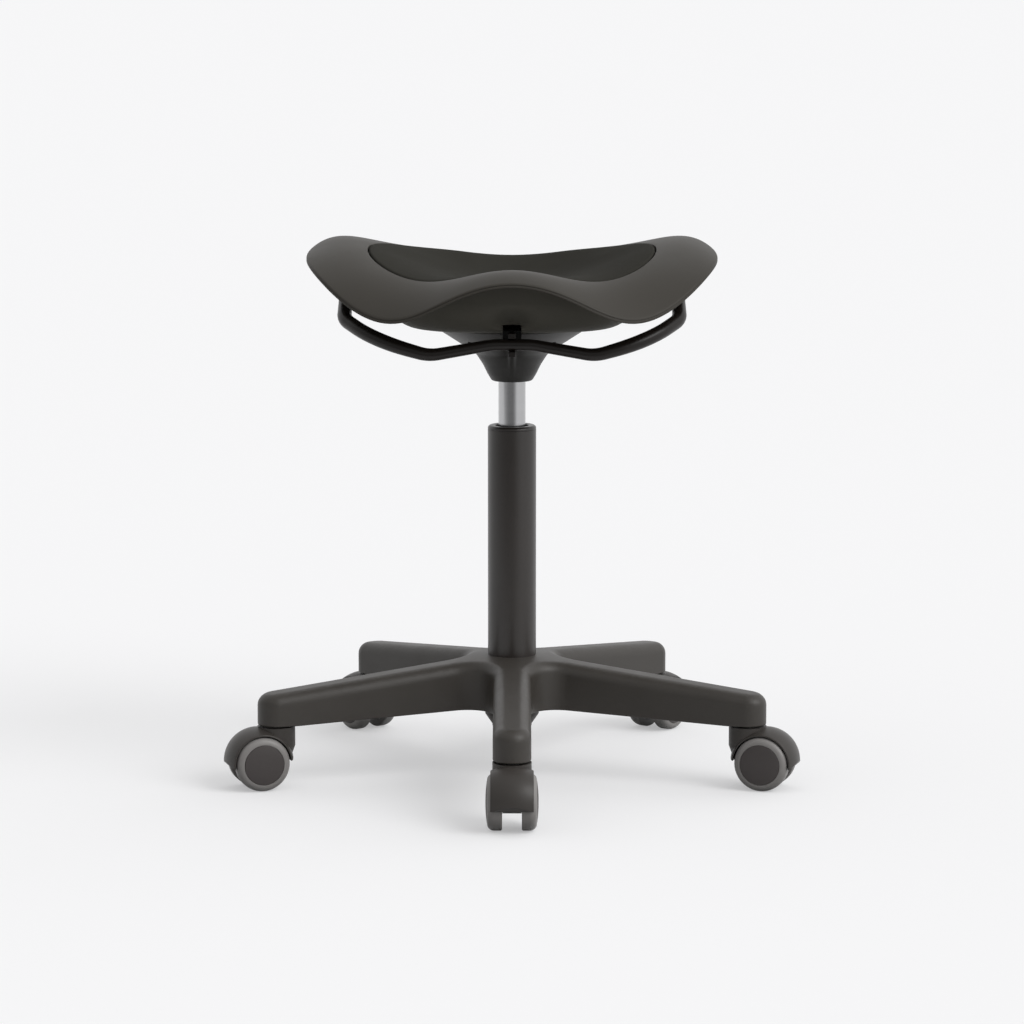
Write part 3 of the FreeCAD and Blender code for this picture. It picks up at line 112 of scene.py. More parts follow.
def finish(name, dark, light, roughness, grain, grain_depth, blotch=0.03, blotch_share=0.35,
           roughness_swing=0.08, metallic=0.0, specular=0.5, stretch=(1, 1, 1)):
    """A material with a fine grain, and slow changes of colour and gloss over the surface."""
    material = bpy.data.materials.new(name)
    material.use_nodes = True
    material.node_tree.nodes.clear()
    nodes = Nodes(material.node_tree)
    place = nodes.add("ShaderNodeTexCoord", output="Object")
    drawn = nodes.add("ShaderNodeMapping", {}, {"Vector": place, "Scale": stretch})
    fine = nodes.add("ShaderNodeTexNoise", {},
                     {"Vector": drawn, "Scale": 1 / grain, "Detail": 3, "Roughness": 0.6})
    slow = nodes.add("ShaderNodeTexNoise", {},
                     {"Vector": drawn, "Scale": 1 / blotch, "Detail": 4, "Roughness": 0.55})
    share = (slow * (1 - blotch_share) + fine * blotch_share).clamped()
    tint = nodes.add("ShaderNodeMix", {"data_type": "RGBA"},
                     {"Factor": share, 6: (*dark, 1), 7: (*light, 1)}, output=2)
    gloss = (slow - 0.5) * roughness_swing * 2 + (fine - 0.5) * roughness_swing + roughness
    bump = nodes.add("ShaderNodeBump", {}, {"Height": fine, "Distance": grain_depth, "Strength": 1})
    skin = nodes.add("ShaderNodeBsdfPrincipled", {}, {
        "Base Color": tint, "Roughness": gloss.clamped(), "Normal": bump,
        "Metallic": metallic, "Specular IOR Level": specular})
    nodes.add("ShaderNodeOutputMaterial", {}, {"Surface": skin})
    return material


def placed(name, mesh, crease):
    """An object of a mesh, shaded smooth up to a crease angle in degrees."""
    for face in mesh.polygons:
        face.use_smooth = True
    mesh.set_sharp_from_angle(angle=math.radians(crease))
    piece = bpy.data.objects.new(name, mesh)
    bpy.context.scene.collection.objects.link(piece)
    return piece


facet_gap = 0.002 * mm
moulded_crease = 32
flat_angle = 1


def dressed(name, node, body, material, bevel=None):
    """A solid of the frame with its facets joined, smooth up to a crease, in its finish."""
    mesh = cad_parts[node].data.copy()
    mesh.name = name
    work = bmesh.new()
    work.from_mesh(mesh)
    bmesh.ops.remove_doubles(work, verts=work.verts, dist=facet_gap)
    if bevel:
        bmesh.ops.dissolve_limit(work, angle_limit=math.radians(flat_angle), verts=work.verts,
                                 edges=work.edges)
    work.to_mesh(mesh)
    work.free()
    mesh.materials.clear()
    mesh.materials.append(material)
    for face in mesh.polygons:
        face.material_index = 0
    if "custom_normal" in mesh.attributes:
        mesh.attributes.remove(mesh.attributes["custom_normal"])
    piece = placed(name, mesh, moulded_crease)
    if bevel:
        rounding = piece.modifiers.new("rounding", "BEVEL")
        rounding.width = bevel
        rounding.segments = 2
        rounding.limit_method = "ANGLE"
        rounding.angle_limit = math.radians(moulded_crease)
        rounding.harden_normals = False
    weighted = piece.modifiers.new("weighted", "WEIGHTED_NORMAL")
    weighted.keep_sharp = True
    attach(piece, body)
    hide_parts(node)


nylon = finish("grained_nylon", tone(54, 51, 47), tone(65, 61, 57), 0.45,
               grain=0.9 * mm, grain_depth=0.04 * mm, specular=0.42)
dressed("star_base_moulding", "star_base", "base", nylon)


# Column tube and guide bush
# Drawn steel tube with a rolled, rounded rim, powder coated in a warm black. A moulded
# bush sits inside its mouth and guides the inner cylinder.

ring_gap = 0.001 * mm
turned_crease = 35


def ringed(name, rings, body, material, replaced, crease=turned_crease):
    """A closed skin over a stack of rings. A ring of one point closes the skin in a pole."""
    points = []
    faces = []
    last = None
    for ring in rings:
        ring = np.atleast_2d(np.asarray(ring, dtype=float))
        numbers = list(range(len(points), len(points) + len(ring)))
        points.extend(ring.tolist())
        if last is not None and len(last) + len(numbers) > 2:
            count = max(len(last), len(numbers))
            for index in range(count):
                follower = (index + 1) % count
                if len(last) == 1:
                    faces.append((last[0], numbers[index], numbers[follower]))
                elif len(numbers) == 1:
                    faces.append((last[index], numbers[0], last[follower]))
                else:
                    faces.append((last[index], numbers[index], numbers[follower], last[follower]))
        last = numbers
    mesh = bpy.data.meshes.new(name)
    mesh.from_pydata(points, [], faces)
    work = bmesh.new()
    work.from_mesh(mesh)
    bmesh.ops.remove_doubles(work, verts=work.verts, dist=ring_gap)
    bmesh.ops.recalc_face_normals(work, faces=work.faces)
    work.to_mesh(mesh)
    work.free()
    mesh.materials.append(material)
    piece = placed(name, mesh, crease)
    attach(piece, body)
    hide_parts(replaced)
    return piece


def rounded(corners, steps=6):
    """A profile in millimetres. A third entry on a corner is the radius that softens it."""
    softened = []
    for index, corner in enumerate(corners):
        here = Vector(corner[:2])
        if len(corner) < 3:
            softened.append(here)
            continue
        before = (Vector(corners[index - 1][:2]) - here).normalized()
        after = (Vector(corners[(index + 1) % len(corners)][:2]) - here).normalized()
        half = before.angle(after) / 2
        start = here + before * corner[2] / math.tan(half)
        end = here + after * corner[2] / math.tan(half)
        centre = here + (before + after).normalized() * (corner[2] / math.sin(half))
        first = start - centre
        sweep = first.angle_signed(end - centre)
        for step in range(steps + 1):
            softened.append(centre + Matrix.Rotation(-sweep * step / steps, 2) @ first)
    return softened


round_steps = 128
axis_radius = 0.01


def turned(corners, centre=Vector((0, 0, 0)), axis=Vector((0, 0, 1))):
    """Rings for a turned piece: the profile is (radius, height along the axis)."""
    side = axis.orthogonal().normalized()
    other = axis.cross(side)
    rings = []
    for radius, height in rounded(corners):
        middle = centre + axis * height * mm
        if radius < axis_radius:
            rings.append([middle])
            continue
        rings.append([middle + (side * math.cos(turn) + other * math.sin(turn)) * radius * mm
                      for turn in np.linspace(0, 2 * math.pi, round_steps, endpoint=False)])
    return rings + [rings[0]]


tube_profile = [
    (5.05, 62), (25, 62, 0.8), (25, 359.8, 0.2), (24.5, 360), (24.5, 360.5), (25, 360.7, 0.2),
    (25, 364, 3.1), (18.4, 364, 0.3), (17, 363.4, 0.3), (17, 360.5),
    (23.2, 360.5), (23.2, 65), (5.05, 65),
]
powder_coat = finish("powder_coat", tone(31, 26, 22), tone(39, 33, 29), 0.34,
                     grain=1.4 * mm, grain_depth=0.02 * mm, blotch=0.05, specular=0.6)
ringed("column_tube_coated", turned(tube_profile), "base", powder_coat,
       "column_tube")

bush_acetal = finish("bush_acetal", tone(22, 21, 20), tone(31, 29, 28), 0.65,
                     grain=1.1 * mm, grain_depth=0.02 * mm, specular=0.05)
dressed("guide_bush_moulding", "guide_bush", "base", bush_acetal)


# Gas lift
# The inner cylinder is ground steel tube with a satin, faintly ringed finish. The rod,
# washers, ball race and clip under it carry the load to the tube's plate, and the seat
# turns on them.

cylinder_profile = [
    (12.4, 112.4), (14, 112, 0.6), (14, 410), (13.3, 449.99, 0.5), (3.06, 450), (3.06, 436),
    (12.4, 436),
]


def given_finish(material, *nodes):
    """Solids of the frame that are shown as they are, in a finish of the scene's."""
    for node in nodes:
        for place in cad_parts[node].material_slots:
            place.material = material


ground_steel = finish("ground_steel", tone(166, 166, 167), tone(194, 194, 195), 0.2,
                      grain=0.5 * mm, grain_depth=0.004 * mm, blotch=0.02, blotch_share=0.2,
                      roughness_swing=0.05, metallic=1.0, stretch=(0.06, 0.06, 1))
turned_steel = finish("turned_steel", tone(150, 149, 146), tone(186, 185, 182), 0.35,
                      grain=0.4 * mm, grain_depth=0.006 * mm, blotch=0.015, metallic=1.0)
rubber = finish("moulded_rubber", tone(30, 29, 28), tone(40, 39, 37), 0.7,
                grain=0.7 * mm, grain_depth=0.04 * mm)
ringed("gas_cylinder_ground", turned(cylinder_profile), "seat", ground_steel,
       "gas_cylinder")
given_finish(turned_steel, "piston_rod", "retaining_clip", "upper_washer", "lower_washer",
             "thrust_bearing", "valve_pin")
given_finish(bush_acetal, "piston", "rod_guide")
given_finish(rubber, "rubber_bumper")


# Casters
# Each has a moulded hood that turns on a steel stem and shades two wheels. A wheel is a
# hard core, closed outside by a slightly domed cap, in a softer grey tread that is
# moulded round it and drawn in at its shoulder.

caster_circle = 253.8 * mm
trail = 18.9 * mm
wheel_height = 28 * mm
wheel_inner = 9.7 * mm
first_arm = -90
arm_step = 72
tread_profile = [
    (20.7, 0), (27, 0, 0.6), (28, 1, 0.6), (28, 8.8, 8), (26.2, 14.2, 6.4), (20.95, 14.75, 0.25),
    (20.7, 14.2),
]
core_profile = [
    (3.05, 0, 0.3), (6.5, 0, 0.3), (6.5, 6), (18, 6), (18, 0, 0.3), (20.6, 0, 0.3),
    (20.6, 14.9, 0.5), (12.6, 15.9, 60), (5, 16.3, 20), (0, 16.3), (0, 14.9), (3.05, 14.9),
]
hood_nylon = finish("hood_nylon", tone(53, 50, 47), tone(64, 60, 57), 0.4,
                    grain=0.8 * mm, grain_depth=0.04 * mm, specular=0.35)
cap_nylon = finish("cap_nylon", tone(65, 60, 59), tone(75, 70, 69), 0.42,
                   grain=0.8 * mm, grain_depth=0.03 * mm, specular=0.4)
tread_polymer = finish("tread_polymer", tone(131, 128, 126), tone(143, 140, 138), 0.42,
                       grain=0.6 * mm, grain_depth=0.03 * mm, blotch=0.012, roughness_swing=0.12)

for number in range(1, 6):
    arm_angle = math.radians(first_arm + arm_step * (number - 1))
    outward = Vector((math.cos(arm_angle), math.sin(arm_angle), 0))
    across = Vector((-math.sin(arm_angle), math.cos(arm_angle), 0))
    axle = outward * (caster_circle + trail) + Vector((0, 0, wheel_height))
    dressed("caster_hood_%d_moulding" % number, "caster_hood_%d" % number,
            "caster_%d" % number, hood_nylon)
    given_finish(turned_steel, "caster_stem_%d" % number, "caster_axle_%d" % number)
    for side, sign in (("left", 1), ("right", -1)):
        wheel = "%d_%s" % (number, side)
        outer_side = across * sign
        inner_face = axle + outer_side * wheel_inner
        ringed("tread_" + wheel, turned(tread_profile, inner_face, outer_side),
               "wheel_" + wheel, tread_polymer, "wheel_tread_" + wheel)
        ringed("core_" + wheel, turned(core_profile, inner_face, outer_side),
               "wheel_" + wheel, cap_nylon, "wheel_core_" + wheel)


# Mechanism housing
# A light casting under the seat pan. Its cone grips the tapered top of the gas cylinder,
# and its dish is screwed up against the pan. It wears a fine textured paint.

housing_floor = 450
housing_top = 466.3
housing_profile = rounded([
    (13.0, housing_floor), (14.05, 410.4), (14.8, 410.2, 0.3), (20.8, 410.2, 3.6),
    (25.2, 417.5, 12), (29.8, 427.0, 30), (37.0, 438.2, 18), (48.3, 446.0, 30),
    (79.2, 466.0, 0.3), (78.8, housing_top), (0.05, housing_top), (0.05, housing_floor),
], steps=9)
housing_steps = 256
rib_half_width = 3.3
rib_stand = 2.4
rib_foot = 421.0
rib_top = 437.0
rib_fade = 8
rib_inner = 20
lever_slot = ((0, -66.5, 459.5), (19, 41, 15))
screw_reach = 40
screw_radius = 5.0
screw_foot = 440
screw_head_top = 457


def cut_out(piece, shape):
    """Take a shape away from a piece's mesh."""
    cutter_mesh = bpy.data.meshes.new("cutter")
    work = bmesh.new()
    shape(work)
    work.to_mesh(cutter_mesh)
    work.free()
    cutter = bpy.data.objects.new("cutter", cutter_mesh)
    bpy.context.scene.collection.objects.link(cutter)
    opening = piece.modifiers.new("opening", "BOOLEAN")
    opening.operation = "DIFFERENCE"
    opening.solver = "EXACT"
    opening.object = cutter
    bpy.context.view_layer.update()
    evaluated = piece.evaluated_get(bpy.context.evaluated_depsgraph_get())
    left_over = bpy.data.meshes.new_from_object(evaluated)
    piece.modifiers.clear()
    piece.data = left_over
    bpy.data.objects.remove(cutter)


def carved(piece, boxes, bores=()):
    """Cut rectangular pockets and round bores out of a piece, sizes in millimetres."""
    for centre, size in boxes:
        cut_out(piece, lambda work: bmesh.ops.create_cube(work, size=1, matrix=Matrix.LocRotScale(
            Vector(centre) * mm, None, Vector(size) * mm)))
    for foot, top, radius in bores:
        middle = (Vector(foot) + Vector(top)) / 2
        cut_out(piece, lambda work: bmesh.ops.create_cone(
            work, segments=40, radius1=radius * mm, radius2=radius * mm, cap_ends=True,
            depth=(top[2] - foot[2]) * mm, matrix=Matrix.Translation(middle * mm)))
    for face in piece.data.polygons:
        face.use_smooth = True
    piece.data.set_sharp_from_angle(angle=math.radians(turned_crease))


def lifted(outline, height):
    """A ring over an outline, in metres."""
    return np.column_stack((outline, np.broadcast_to(height, len(outline)))) * mm


textured_paint = finish("textured_paint", tone(27, 26, 24), tone(35, 34, 31), 0.44,
                        grain=1.0 * mm, grain_depth=0.05 * mm, specular=0.35)
around = np.linspace(0, 2 * math.pi, housing_steps, endpoint=False)
housing_rings = []
for radius, height in housing_profile:
    across = radius * np.cos(around)
    on_rib = np.exp(-(across / rib_half_width) ** 4) * (np.sin(around) < 0)
    on_rib = on_rib * np.clip((height - rib_foot) / (rib_top - rib_foot), 0, 1) ** 0.7
    on_rib = on_rib * (height < rib_top + rib_fade) * (radius > rib_inner)
    stand = radius + rib_stand * on_rib
    ring = np.column_stack((stand * np.cos(around), stand * np.sin(around)))
    housing_rings.append(lifted(ring, height))
housing_rings.append(housing_rings[0])
housing = ringed("mechanism_housing_painted", housing_rings, "seat", textured_paint,
                 "mechanism_housing")
screw_bores = [((x, y, screw_foot), (x, y, screw_head_top), screw_radius)
               for x in (-screw_reach, screw_reach) for y in (-screw_reach, screw_reach)]
carved(housing, [lever_slot], screw_bores)


# Seat pan and what fixes it
# A moulded bowl that hides the underside of the saddle. A steel plate lies on its floor,
# and four socket-head screws pull the plate, the pan and the housing together.

outline_steps = 192
turns = np.linspace(0, 2 * math.pi, outline_steps, endpoint=False)
net_half_width = 212.0
net_half_depth = 178.0
net_datum = 420.0
net_rise = 150.0
net_shares = np.array((
    (0.07, 0.01, 0.08, 0.59, 0.75),
    (0.51, 0.49, 0.59, 0.71, 0.91),
    (0.81, 0.85, 0.87, 0.63, 0.62),
    (0.80, 0.94, 0.89, 0.63, 0.54),
    (0.83, 0.89, 0.83, 0.71, 0.64),
    (0.85, 0.83, 0.80, 0.75, 0.69),
))
thickness_shares = np.array((
    (0, 0, 0, 0, 0),
    (0, 0, 0, 0.55, 0.7),
    (0, 0.25, 0.9, 1, 1),
    (0, 0.25, 0.9, 1, 1),
    (0, 0, 0, 0.55, 0.7),
    (0, 0, 0, 0, 0),
))
crown_shares = np.outer((0, 0, 1, 1, 0, 0), (0, 0, 1, 1, 1))
rim_thickness = 4.0
middle_thickness = 13.0
bowl_half_width = 130.0
bowl_front = 108.0
bowl_back = 122.0
bowl_squareness = 2.3
bowl_floor = 466.5
bowl_wall = 3.5
bowl_bend = 34.0
bowl_gap = 0.3
bowl_steps = 28
bowl_tries = 400
scoop_half_width = 15.0
scoop_depth = 20.0
scoop_top = 498.0
scoop_reach = 20.0
scoop_foot = 469.5
scoop_rise = 9
scoop_behind = -40
lever_window = ((0, -61, 464), (19, 150, 24))


def spline_weights(places, count):
    """How much each of a row of control heights counts at places from 0 to 1."""
    knots = np.concatenate(([0] * 3, np.linspace(0, 1, count - 2), [1] * 3))
    places = np.clip(places, 0, 1 - 1e-9)[:, None]
    weights = ((places >= knots[:-1]) & (places < knots[1:])).astype(float)
    for degree in (1, 2, 3):
        reach = knots[degree:] - knots[:-degree]
        reach[reach == 0] = 1e9
        rising = (places - knots[:-degree]) / reach
        falling = 1 - rising
        weights = rising[:, :-1] * weights[:, :-1] + falling[:, 1:] * weights[:, 1:]
    return weights


def over_net(half_net, x, y):
    """The smooth surface that a net of shares, mirrored left to right, spans over the seat."""
    full = np.concatenate((half_net, half_net[:, -2::-1]), axis=1)
    across = spline_weights((np.ravel(x) / net_half_width + 1) / 2, full.shape[1])
    along = spline_weights((np.ravel(y) / net_half_depth + 1) / 2, full.shape[0])
    return np.einsum("ni,ij,nj->n", along, full, across)


def saddle_top(x, y, crown=0.0):
    """Height of the saddle's upper surface, in millimetres, raised by crown in its middle."""
    return net_datum + net_rise * over_net(net_shares, x, y) + crown * over_net(crown_shares, x, y)


def shell_thickness(outline):
    """Thickness of the saddle shell over an outline, thin at its rim."""
    swell = over_net(thickness_shares, outline[:, 0], outline[:, 1])
    return rim_thickness + (middle_thickness - rim_thickness) * swell


def under_shell(outline):
    """Height of the saddle's underside over an outline."""
    return saddle_top(outline[:, 0], outline[:, 1]) - shell_thickness(outline)


def plan(half_width, front, back, squareness, inset=0.0):
    """A rounded outline seen from above, drawn in by an inset."""
    across = np.sign(np.cos(turns)) * np.abs(np.cos(turns)) ** (2 / squareness) * half_width
    depth = np.where(np.sin(turns) > 0, back, front)
    along = np.sign(np.sin(turns)) * np.abs(np.sin(turns)) ** (2 / squareness) * depth
    run = np.roll(across, -1) - np.roll(across, 1)
    rise = np.roll(along, -1) - np.roll(along, 1)
    length = np.hypot(run, rise)
    return np.stack((across - rise / length * inset, along + run / length * inset), axis=1)


def scooped(outline, height):
    """Draw the bowl's front inwards round the lever's slot, in a soft hollow."""
    near_slot = np.exp(-(outline[:, 0] / scoop_half_width) ** 2) * (outline[:, 1] < scoop_behind)
    fade = np.clip((scoop_top - height) / scoop_reach, 0, 1)
    rise = np.clip((height - scoop_foot) / scoop_rise, 0, 1)
    depth = scoop_depth * near_slot * (fade * rise) ** 2 * (3 - 2 * fade) * (3 - 2 * rise)
    return outline + np.column_stack((np.zeros_like(depth), depth))


def bowl_rings(wall):
    """Rings from the bowl's floor up its bent side to just under the saddle shell."""
    bottom = bowl_floor + wall
    bend = bowl_bend - wall
    size = (bowl_half_width - wall, bowl_front - wall, bowl_back - wall, bowl_squareness)
    reach = np.full(outline_steps, math.pi / 2)
    for bend_angle in np.linspace(0, math.pi / 2, bowl_tries)[::-1]:
        outline = plan(*size, inset=bend * (1 - math.sin(bend_angle)))
        height = bottom + bend * (1 - math.cos(bend_angle))
        reach = np.where(height > under_shell(outline) - bowl_gap, bend_angle, reach)
    outer = plan(*size)
    inner = plan(*size, inset=bend)
    rings = [lifted(inner * share, bottom) for share in np.linspace(0.05, 1, 12)]
    for step in range(1, bowl_steps + 1):
        angle = reach * step / bowl_steps
        outline = inner + (outer - inner) * np.sin(angle)[:, None]
        height = bottom + bend * (1 - np.cos(angle))
        rings.append(lifted(scooped(outline, height), height))
    top = rings[-1] / mm
    wall_top = np.maximum(under_shell(top[:, :2]) - bowl_gap, top[:, 2])
    rings.append(lifted(top[:, :2], wall_top))
    return rings


def pole(height):
    """A ring of one point on the seat's middle line, which closes a skin."""
    return [Vector((0, 0, height)) * mm]


pan_moulding = finish("pan_moulding", tone(83, 81, 74), tone(92, 90, 83), 0.6,
                      grain=0.9 * mm, grain_depth=0.05 * mm, specular=0.08)
pan_rings = [pole(bowl_floor)] + bowl_rings(0.0)
pan_rings += bowl_rings(bowl_wall)[::-1] + [pole(bowl_floor + bowl_wall)]
pan = ringed("seat_pan_moulding", pan_rings, "seat", pan_moulding, "seat_pan")
carved(pan, [lever_window])
given_finish(turned_steel, "fixing_plate", "threaded_inserts", "fixing_screws", "lever_pin")


# Saddle shell
# Integral-skin foam moulded over a stiff core, 13 mm thick in the middle and drawn out to
# a thin rim along the wide wings and the raised pommel. It holds a shallow recess for the
# pad, and its skin is matt and finely grained.

shell_half_width = 210.5
shell_front = 175.0
shell_back = 172.0
shell_squareness = 2.3
recess_half_width = 148.0
recess_half_depth = 125.0
recess_squareness = 2.2
recess_depth = 6
recess_round = 0.9
top_round = 1.3
bead_round = 0.9
roll_heights = (0, 0.1, 0.2, 1.4, 3.4, 6.8, 10.2, 13.9, 9.4, 4.4, 1.3, -0.4, 0, 0)
roll_start = 0.3
roll_span = 1.2
roll_end = 165
roll_taper = 115
roll_rise = 60
groove = [(0.25, 1.5), (0.8, 1.75), (0.8, 2.1), (0.3, 2.35), (0.05, 2.65)]


def shell_plan(inset=0.0):
    """The saddle's outline seen from above."""
    return plan(shell_half_width, shell_front, shell_back, shell_squareness, inset)


def recess_plan(inset=0.0):
    """The outline of the pad's recess seen from above."""
    return plan(recess_half_width, recess_half_depth, recess_half_depth, recess_squareness, inset)


def shell_edge(inset, drop, from_below=False):
    """A ring along the saddle's rim, measured from its upper or its lower surface."""
    outline = shell_plan(inset)
    height = saddle_top(outline[:, 0], outline[:, 1])
    if from_below:
        height = height - shell_thickness(outline)
    return lifted(outline, height - drop)


def rolled_top(outline, drop, crown=0.0):
    """A ring on the saddle's upper surface, which swells into a soft roll along its back."""
    x, y = outline.T
    reach = (np.abs(x / recess_half_width) ** recess_squareness
             + np.abs(y / recess_half_depth) ** recess_squareness) ** (1 / recess_squareness)
    roll = spline_weights((reach - roll_start) / roll_span, len(roll_heights)) @ roll_heights
    narrowing = np.clip((roll_end - np.abs(x)) / roll_taper, 0, 1)
    start = np.clip(y / roll_rise, 0, 1)
    roll = roll * narrowing ** 2 * (3 - 2 * narrowing) * start ** 2 * (3 - 2 * start)
    return lifted(outline, saddle_top(x, y, crown) + roll - drop)


def between(share, inset, drop):
    """A ring on the saddle's top, a share of the way from the recess to the rim."""
    inner = recess_plan(-inset)
    outer = shell_plan(top_round)
    return rolled_top(inner + (outer - inner) * share, drop)


shell_skin = finish("shell_skin", tone(55, 52, 47), tone(65, 62, 57), 0.52,
                    grain=1.1 * mm, grain_depth=0.06 * mm, blotch=0.06, specular=0.2)
saddle_middle = saddle_top(0.0, 0.0)[0]
quarter = np.linspace(0, math.pi / 2, 8)
shell_rings = [pole(saddle_middle - middle_thickness)]
for share in np.linspace(0.04, 0.985, 36):
    outline = shell_plan(bead_round) * share
    shell_rings.append(lifted(outline, under_shell(outline)))
for angle in quarter:
    shell_rings.append(shell_edge(bead_round * (1 - math.sin(angle)),
                                  -bead_round * (1 - math.cos(angle)), from_below=True))
for inset, drop in groove[::-1]:
    shell_rings.append(shell_edge(inset, drop))
for angle in quarter[::-1]:
    shell_rings.append(shell_edge(top_round * (1 - math.sin(angle)),
                                  top_round * (1 - math.cos(angle))))
for share in np.linspace(1, 0, 30)[1:-1]:
    shell_rings.append(between(share, recess_round, 0))
for angle in quarter:
    shell_rings.append(between(0, recess_round * (1 - math.sin(angle)),
                               recess_round * (1 - math.cos(angle))))
shell_rings.append(between(0, 0, recess_depth))
for share in (0.98, 0.8, 0.6, 0.4, 0.2):
    shell_rings.append(rolled_top(recess_plan() * share, recess_depth))
shell_rings.append(pole(saddle_middle - recess_depth))
ringed("seat_shell_skin", shell_rings, "seat", shell_skin, "seat_shell")


# Seat pad
# A softer insert that is pressed into the recess. Its edge rolls down into a fine groove,
# its middle swells a little, and its skin has the shallow pebbles of a grained hide.

pad_skin = finish("pad_skin", tone(46, 45, 41), tone(58, 57, 53), 0.75,
                  grain=2.6 * mm, grain_depth=0.25 * mm, blotch=0.02, specular=0.02)
pad_edge = 1.5
pad_roll = 2.6
pad_crown = 2.5
pad_sunk = 0.6
pad_foot = 5.7
pad_foot_corner = [(pad_edge + 0.3, 5.6), (pad_edge, 5.2)]
pad_crease = 70
pad_rings = [pole(saddle_middle - pad_foot)]
for share in (0.25, 0.5, 0.75, 0.97):
    pad_rings.append(rolled_top(recess_plan(pad_edge + 0.8) * share, pad_foot))
for inset, drop in pad_foot_corner:
    pad_rings.append(rolled_top(recess_plan(inset), drop))
for angle in np.linspace(math.pi / 2, 0, 10):
    outline = recess_plan(pad_edge + pad_roll * (1 - math.sin(angle)))
    pad_rings.append(rolled_top(outline, pad_sunk + pad_roll * (1 - math.cos(angle)), pad_crown))
for share in np.linspace(1, 0.02, 48)[1:]:
    pad_rings.append(rolled_top(recess_plan(pad_edge + pad_roll) * share, pad_sunk, pad_crown))
pad_rings.append(pole(saddle_top(0.0, 0.0, pad_crown)[0] - pad_sunk))
pad = ringed("seat_pad_skin", pad_rings, "seat", pad_skin, "seat_pad",
             crease=pad_crease)


# Height bail
# One steel bar, bent to pass in front of the housing and back along both wings, where its
# ends turn in two moulded bearings. Its black dipped coat is thickest along the outer bends.

satin_paint = finish("satin_paint", tone(21, 17, 14), tone(28, 23, 20), 0.34,
                     grain=1.6 * mm, grain_depth=0.02 * mm, blotch=0.03, specular=0.3)
bend_steps = 12
bar_sides = 28
bail_middle_radius = 5.8 * mm
bail_bend_radius = 7.4 * mm
bail_end_radius = 6 * mm
bail_thickens = (40 * mm, 140 * mm)
bail_thins = (488 * mm, 507 * mm)
bail_crease = 40
lever_edge = 2.2 * mm
# A corner of the centre line is (x, y, z, radius of its bend), in millimetres.
bail_corners = [(144, 20, 512, 0), (171, 20, 512, 13), (170.3, -47.8, 478, 30),
                (137.7, -92.9, 461.2, 87), (83.5, -100, 446.6, 45), (20, -100, 457.6, 70)]
bail_corners += [(-x, y, z, bend) for x, y, z, bend in reversed(bail_corners)]
bail_points = []
for index, (x, y, z, bend) in enumerate(bail_corners):
    here = Vector((x, y, z))
    if not bend:
        bail_points.append(here)
        continue
    before = (Vector(bail_corners[index - 1][:3]) - here).normalized()
    after = (Vector(bail_corners[index + 1][:3]) - here).normalized()
    half = before.angle(after) / 2
    middle = here + (before + after).normalized() * (bend / math.sin(half))
    spoke = here + before * (bend / math.tan(half)) - middle
    last_spoke = here + after * (bend / math.tan(half)) - middle
    turn_axis = spoke.cross(last_spoke).normalized()
    for step in range(bend_steps + 1):
        bail_points.append(middle + Matrix.Rotation(
            spoke.angle(last_spoke) * step / bend_steps, 3, turn_axis) @ spoke)
bail_mesh = bpy.data.meshes.new("height_bail_bar")
bail_mesh.from_pydata([point * mm for point in bail_points],
                      [(index, index + 1) for index in range(len(bail_points) - 1)], [])
bail = bpy.data.objects.new("height_bail_bar", bail_mesh)
bpy.context.scene.collection.objects.link(bail)


def eased(nodes, value, start, end):
    """A share that goes smoothly from 0 to 1 as a value goes from start to end."""
    return nodes.add("ShaderNodeMapRange", {"interpolation_type": "SMOOTHSTEP"},
                     {"Value": value, "From Min": start, "From Max": end})


bar_tree = bpy.data.node_groups.new("bent_bar", "GeometryNodeTree")
bar_tree.interface.new_socket("Centre line", in_out="INPUT", socket_type="NodeSocketGeometry")
for size in ("Middle radius", "Bend radius", "End radius"):
    bar_tree.interface.new_socket(size, in_out="INPUT", socket_type="NodeSocketFloat")
bar_tree.interface.new_socket("Finish", in_out="INPUT", socket_type="NodeSocketMaterial")
bar_tree.interface.new_socket("Bar", in_out="OUTPUT", socket_type="NodeSocketGeometry")
bar = Nodes(bar_tree)
given = bar_tree.nodes.new("NodeGroupInput")
line = bar.add("GeometryNodeMeshToCurve", {}, {"Mesh": Value(bar, given.outputs["Centre line"])})
spot = bar.add("ShaderNodeSeparateXYZ", {}, {"Vector": bar.add("GeometryNodeInputPosition")})
height = Value(bar, spot.socket.node.outputs["Z"])
outwards = eased(bar, abs(spot), *bail_thickens)
upwards = eased(bar, height, *bail_thins)
middle_radius = Value(bar, given.outputs["Middle radius"])
bend_radius = Value(bar, given.outputs["Bend radius"])
end_radius = Value(bar, given.outputs["End radius"])
radius = middle_radius + (bend_radius - middle_radius) * outwards \
    + (end_radius - bend_radius) * upwards
section = bar.add("GeometryNodeCurvePrimitiveCircle", {}, {"Resolution": bar_sides, "Radius": 1})
swept = bar.add("GeometryNodeCurveToMesh", {},
                {"Curve": line, "Profile Curve": section, "Scale": radius, "Fill Caps": True})
whole = bar.add("GeometryNodeRealizeInstances", {}, {"Geometry": swept})
painted = bar.add("GeometryNodeSetMaterial", {},
                  {"Geometry": whole, "Material": Value(bar, given.outputs["Finish"])})
bar.add("NodeGroupOutput", {}, {"Bar": painted})


def made_by(piece, tree, values):
    """Run a node tree on a piece and keep its result as the piece's plain mesh."""
    modifier = piece.modifiers.new("maker", "NODES")
    modifier.node_group = tree
    for item in tree.interface.items_tree:
        if item.in_out == "INPUT" and item.name in values:
            modifier[item.identifier] = values[item.name]
    bpy.context.view_layer.update()
    result = piece.evaluated_get(bpy.context.evaluated_depsgraph_get())
    mesh = bpy.data.meshes.new_from_object(result)
    piece.modifiers.clear()
    piece.data = mesh


